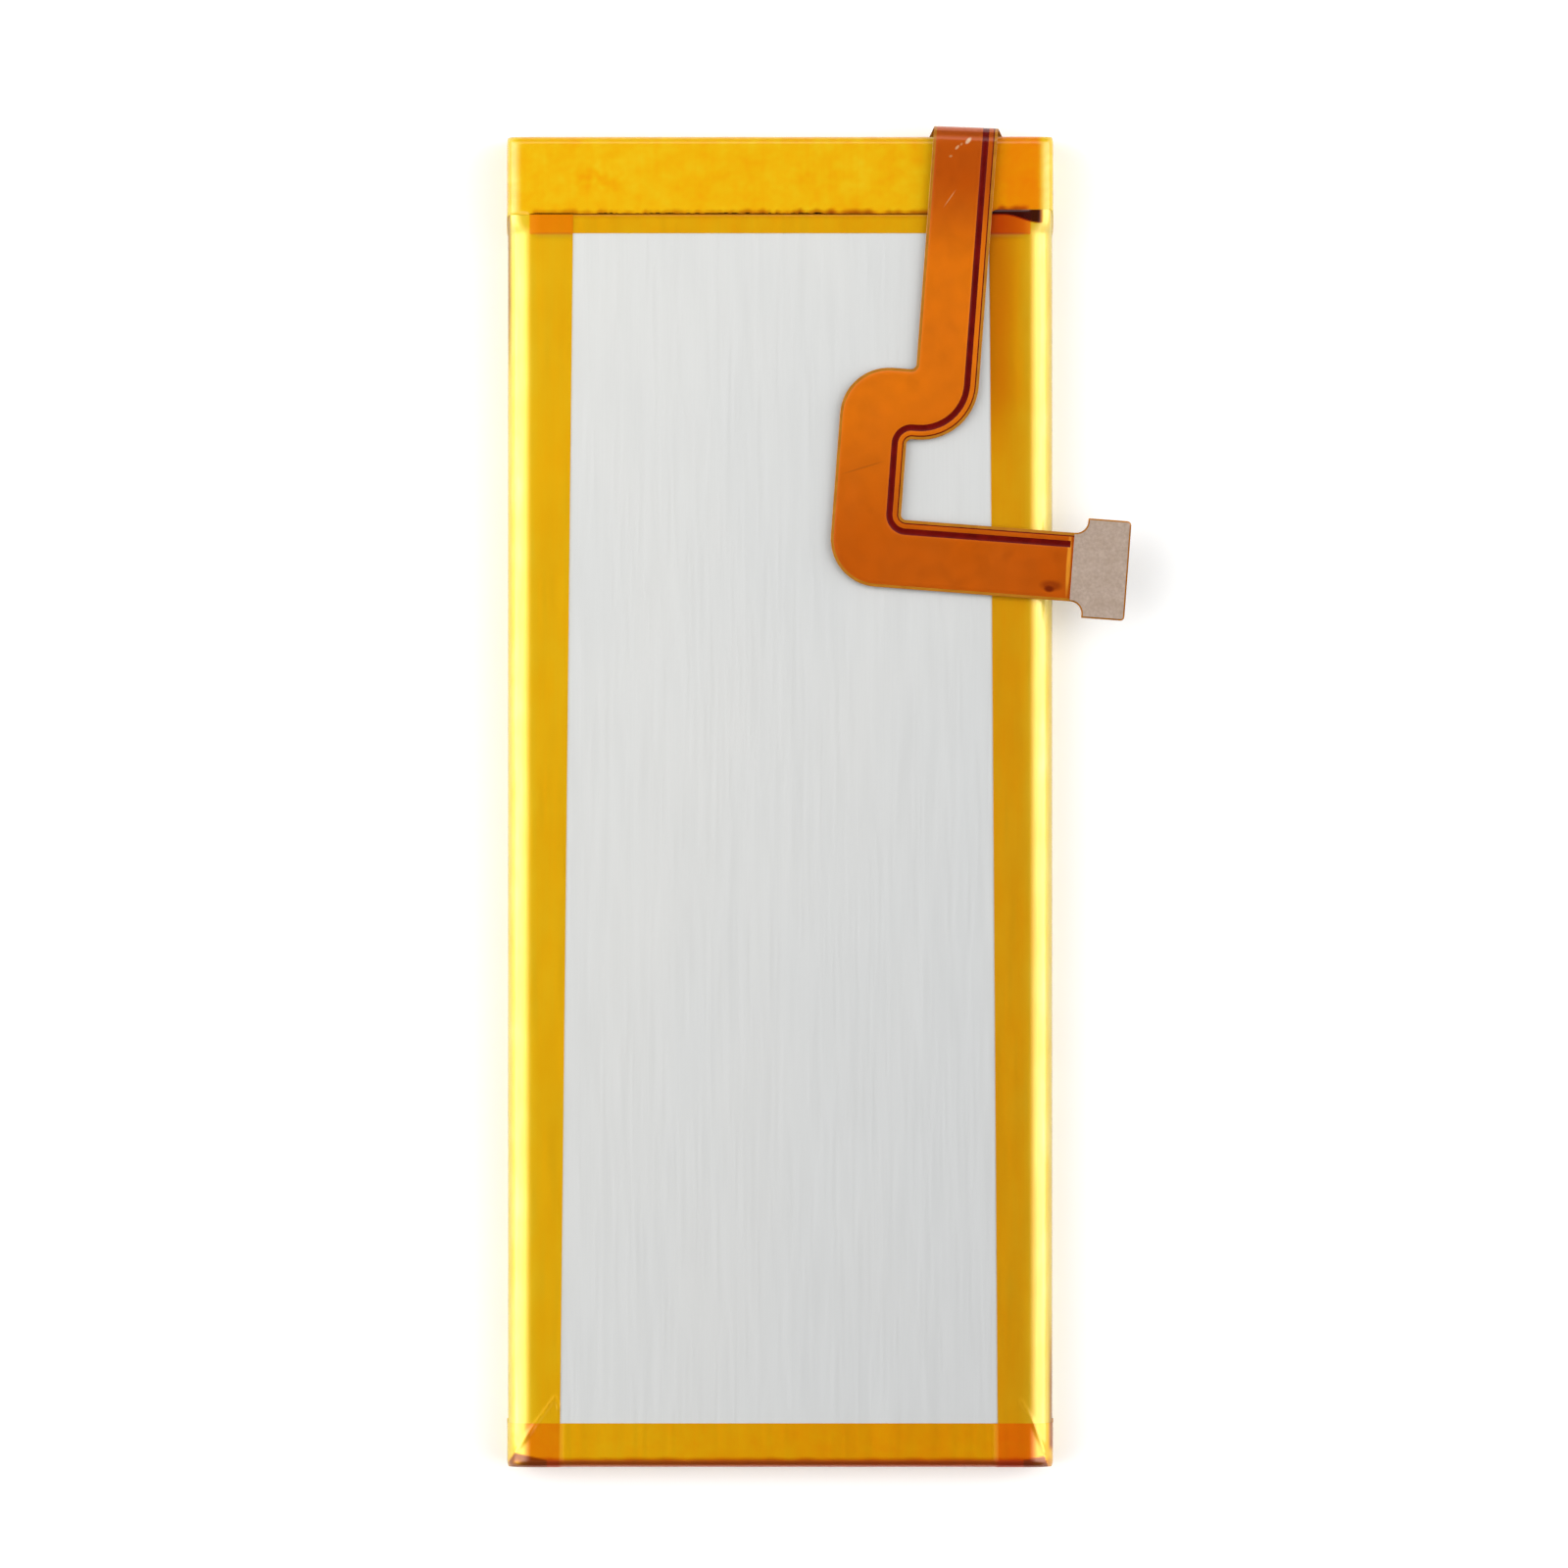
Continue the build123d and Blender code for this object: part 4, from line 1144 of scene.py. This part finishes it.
# Cover film with no copper behind it: even, a little cloudy and shiny, olive here and maroon there.
bare_film = {"Metallic": 0.2} | COVER_COAT
olive_film = mottled(
    "cover_film_border", ("#ae6c18", "#bc7a20"), 0.8, (0.35, 0.45), bare_film, None, 1.0
)
maroon_film = mottled(
    "cover_film_over_gap", ("#5c0603", "#700c06"), 0.8, (0.35, 0.45), bare_film, None, 1.0
)
stand_for(flex_strip, "flex_circuit", [copper, olive_film, maroon_film])
BORDER_SLOT = 1
GAP_SLOT = 2
ring_size = len(flex_columns) + 2
first_of_gap = len(flex_columns) - len(right_columns)
last_of_gap = first_of_gap + 2
dark_line = len(flex_columns) - 4
stiffener_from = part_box("flex_stiffener")[0].x
for index, face in enumerate(flex_strip.data.polygons):
    row, column = divmod(index, ring_size)
    if row >= pours_end or column in (0, 1) or column > dark_line:
        face.material_index = BORDER_SLOT
    elif first_of_gap <= column <= last_of_gap and face.center.x < stiffener_from:
        face.material_index = GAP_SLOT
    elif column == dark_line:
        face.material_index = GAP_SLOT

# The flex's end: a thin steel plate stiffens it from above, and below it sits the moulded plug with
# its gold-plated contacts.
# Ground stainless steel: warm grey and matt, with fine dark specks from the adhesive and handling.
ground_steel = start_material("ground_stainless_steel")
steel_tone = colour("#b49f8e")
for share, code in (
    (grain(ground_steel, 0.9, 0.0, 1.0), "#bda899"),
    (grain(ground_steel, 0.22, 0.0, 0.4), "#8e7c6d"),
):
    tones = {0: share, 6: steel_tone, 7: colour(code)}
    steel_tone = add(ground_steel, "Mix", tones, data_type="RGBA").outputs[2]
steel_bumps = (grain(ground_steel, 0.1, 0.0, 1.0), 0.3, 0.004)
steel_roughness = grain(ground_steel, 0.2, 0.5, 0.62)
finish_material(ground_steel, steel_tone, steel_roughness, {"Metallic": 0.5}, steel_bumps)
# Moulded liquid crystal polymer: black and smooth, with a slight sheen.
plug_plastic = mottled("moulded_plug_polymer", ("#16171a", "#1f2024"), 0.1, (0.35, 0.5), {"IOR": 1.6})
# Gold plate on copper alloy: bright warm yellow.
gold_plate = mottled("gold_plated_contact", ("#d9a441", "#e4b45a"), 0.15, (0.18, 0.28), METAL)
dress("flex_stiffener", ground_steel)
dress("connector_housing", plug_plastic)
for node in ("signal_contacts", "power_contacts"):
    dress(node, gold_plate)

# The floor: a plain pale sheet that the pack lies on. To the eye it is the white of the paper, and
# it keeps the pack's soft shadow.
FLOOR_REACH = 4.0
FLOOR_GLOW = 0.2
floor_z = cad_box[0].z - 0.01 * MM
floor_mesh = bpy.data.meshes.new("floor")
floor_corners = [
    (x * FLOOR_REACH, y * FLOOR_REACH, floor_z) for x, y in ((-1, -1), (1, -1), (1, 1), (-1, 1))
]
floor_mesh.from_pydata(floor_corners, [], [(0, 1, 2, 3)])
floor = new_object("floor", floor_mesh)
# White paper: flat and even, and to the camera alone a little brighter than the light makes it.
paper = start_material("white_paper")
ray = add(paper, "LightPath")
sheet = add(paper, "BsdfDiffuse", {"Color": colour("#f5f5f5")})
dim = add(paper, "Math", {0: ray.outputs["Is Camera Ray"], 1: FLOOR_GLOW}, operation="MULTIPLY")
glow = add(paper, "Emission", {"Color": colour("#ffffff"), "Strength": dim.outputs[0]})
whole = add(paper, "AddShader", {0: sheet.outputs[0], 1: glow.outputs[0]})
add(paper, "OutputMaterial", {"Surface": whole.outputs[0]})
floor_mesh.materials.append(paper)

# The light: a soft white tent with an opening above for the lens. Its sides are the brightest, and
# it is darker towards the tail.
SIDE_LIGHT = 2.6
TAIL_LIGHT = 0.1
HEAD_LIGHT = 1.24
world = bpy.data.worlds.new("tent")
bpy.context.scene.world = world
world.use_nodes = True
world.node_tree.nodes.clear()
way = add(world, "SeparateXYZ", {0: add(world, "TexCoord").outputs["Generated"]}).outputs
sideways = add(world, "Math", {0: way[0]}, operation="ABSOLUTE").outputs[0]
lengthways = add(world, "Math", {0: way[1]}, operation="ABSOLUTE").outputs[0]
# Each change of the light: the direction it goes by, from where to where, and from what to what. They
# are the sides, the sides' two ends, the roof towards the head, the head's wall, and the opening.
changes = []
for direction, start, end, low, high in (
    (sideways, 0.28, 0.75, 0.0, SIDE_LIGHT),
    (lengthways, 0.2, 0.65, 1.0, 0.0),
    (way[1], -0.5, 0.3, TAIL_LIGHT, HEAD_LIGHT),
    (way[1], 0.4, 0.8, 1.0, 0.1),
    (way[2], 0.945, 0.985, 1.0, 0.02),
):
    change = {"Value": direction, "From Min": start, "From Max": end, "To Min": low, "To Max": high}
    changes.append(add(world, "MapRange", change, interpolation_type="SMOOTHSTEP").outputs[0])
side_rise, side_ends, towards_head, head_wall, opening = changes
sides = add(world, "Math", {0: side_rise, 1: side_ends}, operation="MULTIPLY").outputs[0]
lengthwise = add(world, "Math", {0: towards_head, 1: head_wall}, operation="MULTIPLY").outputs[0]
roof = add(world, "Math", {0: lengthwise, 1: opening}, operation="MULTIPLY").outputs[0]
strength = add(world, "Math", {0: roof, 1: sides}, operation="ADD").outputs[0]
# To the camera the tent is plain white.
seen = add(world, "LightPath").outputs["Is Camera Ray"]
shown = add(world, "Math", {0: strength, 1: seen}, operation="MAXIMUM")
tent = add(world, "Background", {"Color": colour("#ffffff"), "Strength": shown.outputs[0]})
add(world, "OutputWorld", {"Surface": tent.outputs[0]})

# The camera: it looks straight down through a long lens, with the head at the top.
LENS = 250.0
SENSOR = 36.0
PIXELS = 1600
PIXELS_PER_MM = 13.58
MIDDLE_PIXEL = (796.0, 818.4)
view_width = PIXELS / PIXELS_PER_MM
camera_data = bpy.data.cameras.new("camera")
camera_data.lens = LENS
camera_data.sensor_width = SENSOR
camera = new_object("camera", camera_data)
centre_x = (PIXELS / 2 - MIDDLE_PIXEL[0]) / PIXELS_PER_MM
centre_y = (MIDDLE_PIXEL[1] - PIXELS / 2) / PIXELS_PER_MM
camera.location = Vector((centre_x, centre_y, SHOULDER_TOP + view_width * LENS / SENSOR)) * MM
camera.rotation_euler = (0, 0, 0)
bpy.context.scene.camera = camera
bpy.context.scene.view_settings.view_transform = "Standard"
